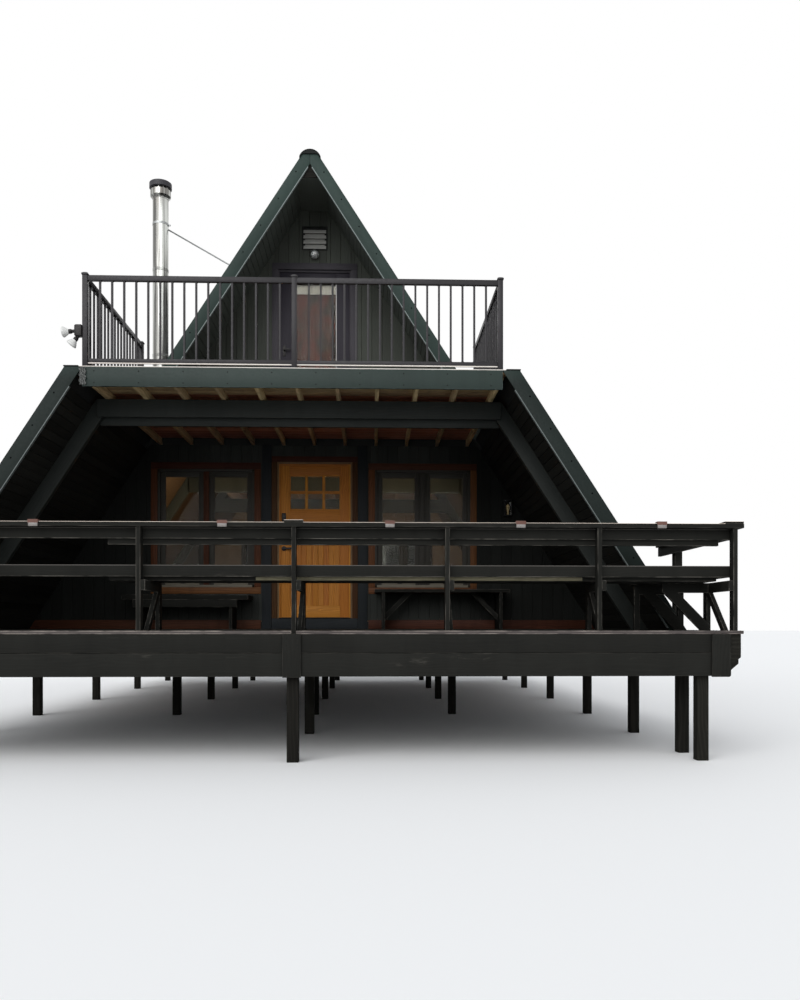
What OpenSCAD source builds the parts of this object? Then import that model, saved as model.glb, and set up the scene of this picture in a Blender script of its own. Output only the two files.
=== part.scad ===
// A-frame cabin on a raised platform, with a covered porch, a railed deck
// with a built-in bench, and a balcony cut into the front of the roof.
// Units are millimetres. X runs across the front, the front faces -Y, +Z is up.
// The pieces are laid out with the outer face of the front wall at y = 0, and
// place() then puts the middle of the whole length at y = 0. The middle of the
// house is x = 0, and the ground is z = 0.

/* [Roof] */
// Slope of both roof planes, degrees from level
roof_pitch = 57; // [52:0.5:61]
// Half width of the roof outside, measured at balcony deck level
top_half = 2180; // [1800:1:2650]
// Thickness of roof boards and shingles together
roof_t = 70; // [50:1:85]
// How far the virtual roof apex is cut down to the flat ridge
ridge_cut = 145; // [120:5:240]
// Width of the sloping fascia boards
fascia_w = 140; // [110:5:180]
// Thickness of all fascia boards
fascia_t = 25; // [18:1:38]
// How far the upper roof reaches in front of the front wall
upper_over = 870; // [600:10:1200]
// How far the roof reaches behind the rear wall
rear_over = 600; // [300:10:900]

/* [House] */
// Distance from the front wall to the outside of the rear wall
house_len = 7300; // [6000:20:9000]
// Thickness of the front and rear walls
wall_t = 110; // [90:5:150]
// Height of the house floor above the porch deck
floor_step = 140; // [100:5:180]
// Height of the loft floor above the balcony deck
loft_step = 100; // [80:5:130]

/* [Porch deck] */
// Height of the porch deck above the ground
deck_h = 1120; // [800:10:1400]
// How far the porch deck reaches past the roof on each side
deck_edge = 118; // [60:1:300]
// How far the porch deck reaches in front of the front wall
deck_d = 4056; // [3800:10:4600]
// Thickness of all deck and floor boards
board_t = 28; // [22:1:38]
// Width of the square posts below the platform
post_w = 100; // [80:5:140]
// Height of the deck rail above the deck
rail_h = 915; // [880:1:1050]
// How far the middle of the deck rail stands right of the middle of the house
front_shift = 90; // [0:5:120]
// Spacing of the front rail posts
rail_pitch = 1300; // [1100:10:1400]
// How far the side rails run back from the front edge
side_rail_len = 1900; // [1500:10:2200]
// Height of the bench seat above the deck
seat_h = 468; // [400:1:500]
// Depth of the bench seat
seat_d = 430; // [350:5:500]

/* [Balcony] */
// Height of the balcony deck above the porch deck
balcony_h = 2512; // [2450:1:3100]
// How far the balcony and the porch roof reach in front of the front wall
balcony_d = 3000; // [2600:10:3400]
// Height of the balcony railing
railing_h = 884; // [850:2:1050]
// Width of a square railing baluster
baluster_w = 19; // [12:1:25]
// Number of balusters in each front railing panel
baluster_n = 16; // [12:1:20]
// Distance of the porch roof frame from the front wall
bent_y = 2250; // [1900:10:2400]
// Depth of the sloping roof frame legs
leg_d = 150; // [130:2:235]
// Thickness of the boards that line the porch roof
lining_t = 40; // [20:1:50]

/* [Front door] */
// Width of the door leaf
door_w = 914; // [760:1:950]
// Height of the door leaf
door_h = 1996; // [1980:2:2080]
// Thickness of the door leaf
door_t = 44; // [38:1:50]

/* [Windows] */
// Width of a window over its trim
win_w = 1420; // [1100:10:1460]
// Height of a window over its trim
win_h = 1707; // [1400:1:1760]
// Distance from the middle of the house to the near edge of a window
win_x = 700; // [695:5:760]
// Width of the flat window trim
trim_w = 85; // [60:5:95]

/* [Chimney] */
// Outside diameter of the chimney pipe
pipe_d = 215; // [150:5:250]
// Distance of the pipe axis from the middle of the house
pipe_x = 2205; // [2000:5:2400]
// Height of the chimney top above the ridge
pipe_rise = 515; // [400:10:900]

/* [Hidden] */
seat = 0.2;
roof_half = top_half + balcony_h / tan(roof_pitch);
deck_half = roof_half + deck_edge;
apex = deck_h + roof_half * tan(roof_pitch);
ridge_z = apex - ridge_cut;
balcony_z = deck_h + balcony_h;
floor_z = deck_h + floor_step;
loft_z = balcony_z + loft_step;
roof_back = house_len + rear_over;
joist_h = 140;
beam_h = 184;
joist_z = deck_h - board_t - joist_h;
beam_z = joist_z - beam_h;
lumber = 38;
bjoist_h = 89;
bjoist_z = balcony_z - board_t - bjoist_h;
beam_top = apex - 200;
ridge_half = xi(beam_top, roof_t);
leg_t = 2 * lumber;
rows = [-deck_d + 63 + post_w / 2, -deck_d + 576, -1990, 60, house_len / 3 + 30, 2 * house_len / 3, house_len - 50];
inner_rows = [house_len / 3, 2 * house_len / 3 - 40];
skirt_half = deck_half - 110;
balcony_half = top_half - 125;
rail_x = balcony_half - 60;
rail_z = deck_h + rail_h;
seat_z = deck_h + seat_h;
post_y = -deck_d + 8;
rail_y = post_y + 89;
back_y = rail_y + lumber;
cap_y = -deck_d - 6;
bench_y = back_y + lumber + 8;
bench_x0 = front_shift - rail_pitch - 288;
bench_x1 = deck_half - 166;
bearer_z = seat_z - lumber - 89;
post_xs = [-deck_half + 68, for (k = [-2 : 2]) front_shift + k * rail_pitch, deck_half - 68];
door_gap = 8;
jamb_in = door_w / 2 + door_gap;
jamb_t = 35;
door_z = floor_z + 13;
door_y = 30;
head_z = door_z + door_h + door_gap;
lite_w = (door_w - 296) / 3;
panel_w = (door_w - 316) / 2;
hinge_x = door_w / 2 - 5;
hinge_y = door_y + door_t + 12;
opening_half = jamb_in + jamb_t;
win_z = floor_z + 319;
up_w = 910;
up_h = 2030;
up_z = loft_z + 20;
vent_z = apex - 771;
vent_w = 331;
vent_h = 309;
pipe_y = 850;
pipe_top = ridge_z + pipe_rise;
pipe_roof_z = apex - pipe_x * tan(roof_pitch);
mid_y = (roof_back + 40 - deck_d - 25) / 2;

// half width of the roof outside at height z
function xo(z) = (apex - z) / tan(roof_pitch);
// the same, d millimetres deeper than the outer face, square to the slope
function xi(z, d) = xo(z) - d / sin(roof_pitch);
// height at which the line d millimetres deep reaches the distance x
function zi(x, d) = apex - (x + d / sin(roof_pitch)) * tan(roof_pitch);

// moves a piece from the front wall's frame to the middle of the whole cabin
module place() {
    translate([0, -mid_y, 0]) children();
}

module box(x0, x1, y0, y1, z0, z1) {
    translate([x0, y0, z0]) cube([x1 - x0, y1 - y0, z1 - z0]);
}

// flat figure in X and Z, drawn out from y0 to y1
module slab(y0, y1, pts) {
    translate([0, y1, 0]) rotate([90, 0, 0]) linear_extrude(height = y1 - y0) polygon(pts);
}

// sloping strip on side s of the roof, between depths d0 and d1
module strip(s, y0, y1, z0, z1, d0, d1) {
    slab(y0, y1, [[s * xi(z0, d0), z0], [s * xi(z1, d0), z1], [s * xi(z1, d1), z1], [s * xi(z0, d1), z0]]);
}

// wall figure between the two roof planes, from z0 to z1
module gable_slab(y0, y1, z0, z1) {
    slab(y0, y1, [[-xi(z0, roof_t + seat), z0], [xi(z0, roof_t + seat), z0], [xi(z1, roof_t + seat), z1],
        [-xi(z1, roof_t + seat), z1]]);
}

// rectangular frame: outer size w by h, border b, from x0 and z0
module ring(x0, z0, w, h, b, y0, y1) {
    difference() {
        box(x0, x0 + w, y0, y1, z0, z0 + h);
        box(x0 + b, x0 + w - b, y0 - 1, y1 + 1, z0 + b, z0 + h - b);
    }
}

// platform

module foundation_posts() color([0.36, 0.31, 0.26]) place() {
    for (i = [0 : len(rows) - 1])
        for (k = (i == 1 ? [-2, 2] : i < 3 ? [-2, 0, 2] : [-2, -1, 0, 1, 2]))
            translate([k * (deck_half - 330) / 2 + (i < 3 && k == 0 ? front_shift - 15 : 0) - post_w / 2, rows[i] - post_w / 2, 0]) cube([post_w, post_w, beam_z]);
}

module floor_beams() color([0.33, 0.27, 0.22]) place() {
    for (i = [0 : len(rows) - 1])
        difference() {
            box(-deck_half + 14, deck_half - 14, rows[i] - lumber, rows[i] + lumber, beam_z, joist_z);
            for (s = [-1, 1])
                slab(rows[i] - 50, rows[i] + 50, [[s * (deck_half - 94), beam_z - 1], [s * (deck_half - 10), beam_z - 1],
                    [s * (deck_half - 10), beam_z + 70]]);
        }
    slab(-deck_d + 25, -deck_d + 63, [[-deck_half + 109, joist_z - 136], [deck_half - 109, joist_z - 136],
        [deck_half - 14, joist_z - 60], [deck_half - 14, deck_h - board_t], [-deck_half + 14, deck_h - board_t],
        [-deck_half + 14, joist_z - 60]]);
}

module deck_joists() color([0.4, 0.33, 0.26]) place() {
    for (i = [0 : 16])
        translate([-deck_half + i * (deck_half * 2 - lumber) / 16, -deck_d + 63, joist_z])
            cube([lumber, deck_d - 63, joist_h]);
}

module house_joists() color([0.4, 0.33, 0.26]) place() {
    for (i = [0 : 12])
        translate([-deck_half + 480 + i * (2 * deck_half - 960 - lumber) / 12, lumber, joist_z])
            cube([lumber, house_len - 2 * lumber, floor_z - 40 - joist_z]);
}

module floor_rims() color([0.3, 0.26, 0.22]) place() {
    for (y = [0, house_len - lumber])
        gable_slab(y, y + lumber, joist_z, floor_z - 40);
}

module house_floor() color([0.5, 0.36, 0.24]) place() gable_slab(0, house_len, floor_z - 40, floor_z);

module porch_deck() color([0.42, 0.41, 0.38]) place()
    difference() {
        box(-deck_half, deck_half, -deck_d, 0, deck_h - board_t, deck_h);
        box(front_shift - 19, front_shift + 19, -deck_d - 1, rail_y, deck_h - board_t - 1, deck_h + 1);
    }

module skirt_boards() color([0.16, 0.2, 0.19]) place() {
    box(-skirt_half, skirt_half, -deck_d, -deck_d + 25, joist_z - 19, deck_h - board_t);
    box(-skirt_half, skirt_half, -deck_d, -deck_d + 25, beam_z - 35, joist_z - 22);
    for (x = [-skirt_half + 95, front_shift - 15, skirt_half - 95])
        box(x - 78, x + 78, -deck_d - 25, -deck_d, beam_z - 42, deck_h - board_t);
}

// roof

module roof_side(s) {
    difference() {
        union() {
            strip(s, -balcony_d, 0, deck_h, balcony_z, 0, roof_t);
            strip(s, 0, roof_back, joist_z, balcony_z, 0, roof_t);
            strip(s, -upper_over, roof_back, balcony_z, ridge_z, 0, roof_t);
        }
        if (s < 0)
            translate([-pipe_x, pipe_y, pipe_roof_z - 600]) cylinder(h = 1200, d = pipe_d + 10, $fn = 48);
    }
}

module roof_left() color([0.11, 0.11, 0.11]) place() roof_side(-1);

module roof_right() color([0.11, 0.11, 0.11]) place() roof_side(1);

module porch_lining() color([0.2, 0.18, 0.17]) place()
    for (s = [-1, 1])
        strip(s, -balcony_d, 0, deck_h, bjoist_z, roof_t + seat, roof_t + lining_t);

module ridge_beam() color([0.3, 0.26, 0.22]) place()
    slab(-upper_over, roof_back, [[-ridge_half, beam_top - 200], [ridge_half, beam_top - 200], [ridge_half, beam_top],
        [xi(ridge_z, roof_t) - 0.02, ridge_z], [0.02 - xi(ridge_z, roof_t), ridge_z], [-ridge_half, beam_top]]);

module ridge_cap() color([0.08, 0.08, 0.08]) place()
    slab(-upper_over - 40, roof_back + 40, [[-xo(ridge_z) - 6, ridge_z], [xo(ridge_z) + 6, ridge_z],
        [xo(ridge_z) - 8, ridge_z + 32], [xo(ridge_z) - 50, ridge_z + 54], [0, ridge_z + 62],
        [-xo(ridge_z) + 50, ridge_z + 54], [-xo(ridge_z) + 8, ridge_z + 32]]);

module roof_fascias() color([0.2, 0.27, 0.25]) place() {
    for (s = [-1, 1]) {
        strip(s, -balcony_d - fascia_t, -balcony_d, deck_h, balcony_z, 0, fascia_w);
        for (y = [-upper_over - fascia_t, roof_back])
            slab(y, y + fascia_t, [[s * xi(y < 0 ? balcony_z : joist_z, 0), y < 0 ? balcony_z : joist_z],
                [s * xo(ridge_z), ridge_z], [s * 2, ridge_z], [s * 2, zi(2, fascia_w)],
                [s * xi(y < 0 ? balcony_z : joist_z, fascia_w), y < 0 ? balcony_z : joist_z]]);
    }
}

module shoulder_flashing() color([0.12, 0.12, 0.12]) place()
    for (s = [-1, 1])
        box(min(s * (balcony_half - 8), s * (xo(balcony_z) + 8)), max(s * (balcony_half - 8), s * (xo(balcony_z) + 8)),
            -balcony_d - fascia_t - 6, -upper_over - fascia_t - 2, balcony_z, balcony_z + 12);

module bent_legs() color([0.2, 0.21, 0.2]) place() {
    for (s = [-1, 1]) {
        strip(s, -bent_y, -bent_y + leg_t, deck_h, bjoist_z, roof_t + lining_t + seat, roof_t + lining_t + leg_d);
        for (y = inner_rows)
            slab(y, y + leg_t, [[s * xi(floor_z, roof_t + seat), floor_z], [s * ridge_half, zi(ridge_half, roof_t + seat)],
                [s * ridge_half, zi(ridge_half, roof_t + leg_d)], [s * xi(floor_z, roof_t + leg_d), floor_z]]);
    }
}

module cross_beams() color([0.22, 0.23, 0.22]) place() {
    box(-xi(bjoist_z, roof_t) + 70, xi(bjoist_z, roof_t) - 70, -bent_y - lumber, -bent_y, bjoist_z - 184, bjoist_z);
    box(-xi(bjoist_z, roof_t) + 70, xi(bjoist_z, roof_t) - 70, -bent_y + leg_t, -bent_y + leg_t + lumber,
        bjoist_z - 250, bjoist_z);
    for (y = inner_rows)
        box(-xi(bjoist_z, roof_t) + 40, xi(bjoist_z, roof_t) - 40, y - 50, y, bjoist_z - 250, bjoist_z);
}

// walls

module front_wall_side(s) {
    difference() {
        slab(0, wall_t, [[s * opening_half, floor_z], [s * xi(floor_z, roof_t + seat), floor_z],
            [s * xi(bjoist_z, roof_t + seat), bjoist_z], [s * opening_half, bjoist_z]]);
        window_hole(s, 0);
    }
}

module window_hole(s, y) {
    x = s > 0 ? win_x : -win_x - win_w;
    box(x + trim_w, x + win_w - trim_w, y - 10, y + wall_t + 10, win_z + trim_w, win_z + win_h - trim_w);
}

module front_wall_left() color([0.15, 0.16, 0.16]) place() front_wall_side(-1);

module front_wall_right() color([0.15, 0.16, 0.16]) place() front_wall_side(1);

module front_wall_head() color([0.15, 0.16, 0.16]) place()
    box(-opening_half, opening_half, 0, wall_t, head_z + jamb_t, bjoist_z);

module gable_wall(y) {
    difference() {
        gable_slab(y, y + wall_t, bjoist_z, beam_top);
        box(-ridge_half, ridge_half, y - 1, y + wall_t + 1, beam_top - 200, beam_top + 1);
        children();
    }
}

module front_gable() color([0.15, 0.16, 0.16]) place()
    gable_wall(0) {
        box(-up_w / 2 - 30, up_w / 2 + 30, -10, wall_t + 10, up_z, up_z + up_h + 30);
        box(-vent_w / 2 + 38, vent_w / 2 - 38, -10, wall_t + 10, vent_z - vent_h / 2 + 38, vent_z + vent_h / 2 - 38);
    }

module rear_wall() color([0.15, 0.16, 0.16]) place()
    difference() {
        gable_slab(house_len - wall_t, house_len, floor_z, bjoist_z);
        for (s = [-1, 1]) window_hole(s, house_len - wall_t);
    }

module rear_gable() color([0.15, 0.16, 0.16]) place()
    gable_wall(house_len - wall_t)
        box(-win_w / 2 + trim_w, win_w / 2 - trim_w, house_len - wall_t - 10, house_len + 10,
            loft_z + 600 + trim_w, loft_z + 600 + 1200 - trim_w);

module wall_posts() color([0.13, 0.14, 0.14]) place() {
    for (s = [-1, 1])
        box(min(s * (opening_half + 62), s * (win_x - 15)), max(s * (opening_half + 62), s * (win_x - 15)),
            -30, 0, deck_h, bjoist_z);
}

module base_boards() color([0.36, 0.2, 0.14]) place() {
    for (s = [-1, 1])
        slab(-25, 0, [[s * win_x, deck_h], [s * xi(deck_h, roof_t + lining_t + seat), deck_h],
            [s * xi(deck_h + 118, roof_t + lining_t + seat), deck_h + 118],
            [s * win_x, deck_h + 118]]);
}

module door_sill() color([0.17, 0.18, 0.18]) place() {
    box(-opening_half - 60, opening_half + 60, -30, 0, deck_h, floor_z);
    box(-jamb_in, jamb_in, -45, wall_t, floor_z, floor_z + 8);
}

module door_frame() color([0.62, 0.44, 0.24]) place() {
    difference() {
        box(-opening_half, opening_half, 0, wall_t, floor_z, head_z + jamb_t);
        box(-jamb_in, jamb_in, -1, wall_t + 1, floor_z - 1, head_z);
    }
    difference() {
        box(-jamb_in, jamb_in, 6, 24, floor_z + 8, head_z);
        box(-jamb_in + 18, jamb_in - 18, 5, 25, floor_z + 7, head_z - 18);
    }
}

module door_trim() color([0.36, 0.2, 0.14]) place()
    difference() {
        box(-opening_half - 60, opening_half + 60, -25, 0, floor_z, head_z + jamb_t + 60);
        box(-opening_half + 10, opening_half - 10, -26, 1, floor_z - 1, head_z + jamb_t - 10);
    }

module door_lite(i, k, y0, y1) {
    x = i * (lite_w + 20);
    box(x - lite_w / 2, x + lite_w / 2, y0, y1, door_z + door_h - 583 + k * 236, door_z + door_h - 367 + k * 236);
}

module door_leaf() color([0.76, 0.5, 0.25]) place() {
    for (z = [door_z + 200, door_z + door_h / 2, door_z + door_h - 200]) {
        translate([hinge_x, hinge_y, z - 45]) cylinder(h = 90, r = 7, $fn = 32);
        box(hinge_x - 35, hinge_x, door_y + door_t - 2, hinge_y - 5, z - 45, z + 45);
    }
    difference() {
        box(-door_w / 2, door_w / 2, door_y, door_y + door_t, door_z, door_z + door_h);
        for (i = [-1, 0, 1])
            for (k = [0, 1])
                door_lite(i, k, door_y - 1, door_y + door_t + 1);
        for (s = [-1, 1])
            for (y = [door_y - 1, door_y + door_t - 10])
                translate([s * (panel_w / 2 + 30), y, 0])
                    box(-panel_w / 2, panel_w / 2, 0, 11, door_z + 145, door_z + door_h - 783);
    }
}

module door_glass() color([0.6, 0.66, 0.66]) place()
    for (i = [-1, 0, 1])
        for (k = [0, 1])
            door_lite(i, k, door_y + door_t / 2 - 3, door_y + door_t / 2 + 3);

module door_handle() color([0.1, 0.09, 0.08]) place()
    for (f = [0, 1]) {
        d = f == 0 ? -1 : 1;
        translate([-door_w / 2 + 52, f == 0 ? door_y : door_y + door_t, door_z]) scale([1, -d, 1]) rotate([90, 0, 0]) {
            translate([-27, 1252, 0]) cube([54, 112, 24]);
            translate([0, 1308, 24]) cylinder(h = 10, d = 40, $fn = 32);
            translate([0, 900, 0]) cylinder(h = 10, d = 62, $fn = 40);
            translate([0, 900, 10]) cylinder(h = 40, d = 22, $fn = 32);
            translate([-13, 888, 46]) cube([118, 24, 14]);
        }
    }

// windows: face is the y of the outer wall face, d the way inward

module window_frame(cx, z0, w, h, face, d) {
    ring(cx - w / 2, z0, w, h, trim_w, min(face - d * 25, face), max(face - d * 25, face));
    ring(cx - w / 2 + trim_w, z0 + trim_w, w - 2 * trim_w, h - 2 * trim_w, 30,
        min(face - d * 25, face + d * wall_t), max(face - d * 25, face + d * wall_t));
    box(cx - 35, cx + 35, min(face - d * 5, face + d * 100), max(face - d * 5, face + d * 100),
        z0 + trim_w + 30, z0 + h - trim_w - 30);
}

module sash_pair(cx, z0, w, h, face, d, glass) {
    sw = (w - 2 * trim_w - 130) / 2;
    for (x = [cx - 35 - sw, cx + 35])
        if (glass)
            box(x + 60, x + sw - 60, min(face + d * 37, face + d * 43), max(face + d * 37, face + d * 43),
                z0 + trim_w + 90, z0 + h - trim_w - 90);
        else
            ring(x, z0 + trim_w + 30, sw, h - 2 * trim_w - 60, 60, min(face + d * 20, face + d * 60),
                max(face + d * 20, face + d * 60));
}

module all_windows(kind) {
    for (s = [-1, 1])
        for (k = [0, 1]) {
            face = k == 0 ? 0 : house_len;
            d = k == 0 ? 1 : -1;
            if (kind == 0) window_frame(s * (win_x + win_w / 2), win_z, win_w, win_h, face, d);
            else sash_pair(s * (win_x + win_w / 2), win_z, win_w, win_h, face, d, kind == 2);
        }
    if (kind == 0) window_frame(0, loft_z + 600, win_w, 1200, house_len, -1);
    else sash_pair(0, loft_z + 600, win_w, 1200, house_len, -1, kind == 2);
}

module window_frames() color([0.42, 0.25, 0.17]) place() all_windows(0);

module window_sashes() color([0.42, 0.44, 0.43]) place() all_windows(1);

module window_glass() color([0.55, 0.62, 0.64]) place() all_windows(2);

module upper_door_trim() color([0.36, 0.2, 0.14]) place() {
    difference() {
        box(-up_w / 2 - 100, up_w / 2 + 100, -25, 0, up_z - 60, up_z + up_h + 112);
        box(-up_w / 2 - 15, up_w / 2 + 15, -26, 1, up_z - 61, up_z + up_h + 15);
    }
    difference() {
        box(-up_w / 2 - 30, up_w / 2 + 30, 0, wall_t, up_z, up_z + up_h + 30);
        box(-up_w / 2, up_w / 2, -1, wall_t + 1, up_z + 15, up_z + up_h);
    }
}

module upper_door_leaf() color([0.3, 0.2, 0.15]) place()
    difference() {
        box(-up_w / 2, up_w / 2, 20, 64, up_z + 15, up_z + up_h);
        box(-285, 285, 19, 65, up_z + 290, up_z + up_h - 130);
    }

module upper_door_glass() color([0.55, 0.62, 0.64]) place()
    box(-285, 285, 39, 45, up_z + 290, up_z + up_h - 130);

module gable_vent() color([0.5, 0.5, 0.48]) place() {
    ring(-vent_w / 2, vent_z - vent_h / 2, vent_w, vent_h, 38, -25, 0);
    for (i = [0 : 3])
        translate([-vent_w / 2 + 38, 4, vent_z - vent_h / 2 + 52 + i * 56]) rotate([40, 0, 0])
            cube([vent_w - 76, 50, 8]);
}

module gable_light() color([0.8, 0.8, 0.78]) place() {
    translate([0, 0, vent_z - 222]) rotate([90, 0, 0]) cylinder(h = 22, d = 84, $fn = 32);
    translate([0, -22, vent_z - 222]) rotate([90, 0, 0]) cylinder(h = 60, d = 120, $fn = 40);
}

module wall_lantern() color([0.1, 0.1, 0.1]) place() {
    translate([xi(floor_z + 1551, roof_t + lining_t) - 62, 0, floor_z + 1447]) {
        box(-45, 45, -14, 0, -70, 70);
        box(-14, 14, -60, -14, 66, 92);
        box(-52, 52, -138, -34, 92, 104);
        box(-44, 44, -130, -42, -96, 92);
        box(-50, 50, -136, -36, -108, -96);
    }
}

// floors above

module loft_floor() color([0.5, 0.36, 0.24]) place()
    difference() {
        gable_slab(wall_t, house_len - wall_t, loft_z - 33, loft_z);
        for (s = [-1, 1])
            for (y = inner_rows)
                strip(s, y, y + leg_t, loft_z - 60, loft_z + 60, roof_t - 5, roof_t + leg_d + seat);
    }

module loft_joists() color([0.4, 0.33, 0.26]) place() {
    half = xi(loft_z, roof_t + leg_d) - 40;
    for (i = [-3 : 3])
        translate([i * half / 3 - 19, wall_t, bjoist_z])
            cube([lumber, house_len - 2 * wall_t, loft_z - 33 - bjoist_z]);
}

module balcony_deck() color([0.36, 0.24, 0.18]) place()
    box(-balcony_half, balcony_half, -balcony_d, 0, balcony_z - board_t, balcony_z);

module balcony_joists() color([0.5, 0.4, 0.3]) place() {
    for (i = [-5 : 5])
        translate([i * (balcony_half - 60) / 5 - 19, -balcony_d, bjoist_z]) cube([lumber, balcony_d, bjoist_h]);
}

module balcony_fascia() color([0.2, 0.27, 0.25]) place()
    box(-xi(balcony_z, fascia_w) + 1, xi(balcony_z, fascia_w) - 1, -balcony_d - fascia_t, -balcony_d,
        balcony_z - 187, balcony_z);

module balcony_edging() color([0.72, 0.7, 0.66]) place() {
    box(12 - balcony_half, balcony_half - 12, -balcony_d - fascia_t, -balcony_d, balcony_z, balcony_z + 8);
    for (s = [-1, 1])
        translate([s > 0 ? 25 : 25 - rail_x, -balcony_d + 14, balcony_z + 40])
            cube([rail_x - 50, 16, 13]);
}

// balcony railing

module rail_panel_x(x0, x1) {
    box(x0, x1, -balcony_d + 6, -balcony_d + 44, balcony_z + railing_h - 50, balcony_z + railing_h);
    box(x0, x1, -balcony_d + 10, -balcony_d + 40, balcony_z + 53, balcony_z + 87);
    for (i = [1 : baluster_n])
        translate([x0 + i * (x1 - x0) / (baluster_n + 1) - baluster_w / 2, -balcony_d + 25 - baluster_w / 2, balcony_z + 80])
            cube([baluster_w, baluster_w, railing_h - 120]);
}

module rail_panel_y(x, y0, y1) {
    n = baluster_n;
    box(x - 19, x + 19, y0, y1, balcony_z + railing_h - 50, balcony_z + railing_h);
    box(x - 15, x + 15, y0, y1, balcony_z + 53, balcony_z + 87);
    for (i = [1 : n])
        translate([x - baluster_w / 2, y0 + i * (y1 - y0) / (n + 1) - baluster_w / 2, balcony_z + 80])
            cube([baluster_w, baluster_w, railing_h - 120]);
}

module railing_front() color([0.13, 0.12, 0.12]) place() {
    rail_panel_x(-rail_x + 25, -25);
    rail_panel_x(25, rail_x - 25);
}

module railing_sides() color([0.13, 0.12, 0.12]) place() {
    for (s = [-1, 1])
        rail_panel_y(s * rail_x, -balcony_d + 50, -upper_over - fascia_t - 85);
}

module balcony_posts() color([0.13, 0.12, 0.12]) place() {
    for (x = [-rail_x, 0, rail_x])
        box(x - 25, x + 25, -balcony_d, -balcony_d + 50, balcony_z, balcony_z + railing_h + 8);
    for (x = [-rail_x, rail_x])
        box(x - 25, x + 25, -upper_over - fascia_t - 85, -upper_over - fascia_t - 35, balcony_z, balcony_z + railing_h + 8);
}

module floodlight() color([0.55, 0.55, 0.53]) place() {
    translate([-rail_x - 25, -balcony_d + 25, balcony_z + 350]) {
        box(-70, 0, -45, 25, -55, 55);
        translate([-60, -10, 0]) rotate([0, -95, 0]) {
            cylinder(h = 60, d = 34, $fn = 24);
            translate([0, 0, 60]) cylinder(h = 76, d1 = 46, d2 = 104, $fn = 32);
        }
        translate([-40, -10, -50]) rotate([0, -140, 0]) {
            cylinder(h = 40, d = 34, $fn = 24);
            translate([0, 0, 40]) cylinder(h = 76, d1 = 46, d2 = 104, $fn = 32);
        }
    }
}

// deck rail and bench

module rail_posts() color([0.24, 0.25, 0.25]) place() {
    for (x = post_xs)
        box(x - 19, x + 19, post_y, rail_y, x == front_shift ? deck_h - board_t : deck_h, rail_z - lumber);
    for (s = [-1, 1])
        box(min(s * (deck_half - 78), s * deck_half), max(s * (deck_half - 78), s * deck_half),
            -deck_d + 1480, -deck_d + 1569, deck_h, rail_z - lumber);
}

module rail_caps() color([0.32, 0.33, 0.32]) place() {
    box(-deck_half, deck_half, cap_y, back_y + 6, rail_z - lumber, rail_z);
    for (x = [-deck_half + 85, front_shift, deck_half - 85])
        box(x - 80, x + 80, cap_y - 5, back_y + 11, rail_z, rail_z + 19);
    for (s = [-1, 1])
        box(min(s * (deck_half - 140), s * deck_half), max(s * (deck_half - 140), s * deck_half),
            back_y + 6, -deck_d + side_rail_len, rail_z - lumber, rail_z);
}

module rail_boards() color([0.25, 0.26, 0.26]) place() {
    for (z = [[rail_z - lumber - 94, rail_z - lumber], [rail_z - 455, rail_z - 355]]) {
        box(-deck_half + 31, deck_half - 31, rail_y, back_y, z[0], z[1]);
        for (s = [-1, 1])
            box(min(s * (deck_half - 78), s * (deck_half - 116)), max(s * (deck_half - 78), s * (deck_half - 116)),
                back_y, -deck_d + side_rail_len, z[0], z[1]);
    }
}

module bench_boards() color([0.27, 0.28, 0.28]) place() {
    box(bench_x0, bench_x1, back_y, back_y + lumber, rail_z - 180, rail_z - lumber - 2);
    for (i = [0 : 2])
        translate([0, bench_y + i * (seat_d + 6) / 3, 0])
            box(bench_x0, bench_x1, 0, seat_d / 3 - 4, seat_z - lumber, seat_z);
    for (i = [0 : 3])
        translate([deck_half - 690 + i * 143, 0, 0])
            box(0, 138, bench_y + seat_d + 6, -deck_d + 1010, seat_z - lumber, seat_z);
    for (i = [0 : 1])
        translate([0, -520 + i * 248, 0])
            box(win_x + 80, win_x + 1780, 0, 240, deck_h + 464, deck_h + 502);
    box(-win_x - 1670, -win_x - 100, -480, -40, deck_h + 371, deck_h + 431);
}

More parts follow.
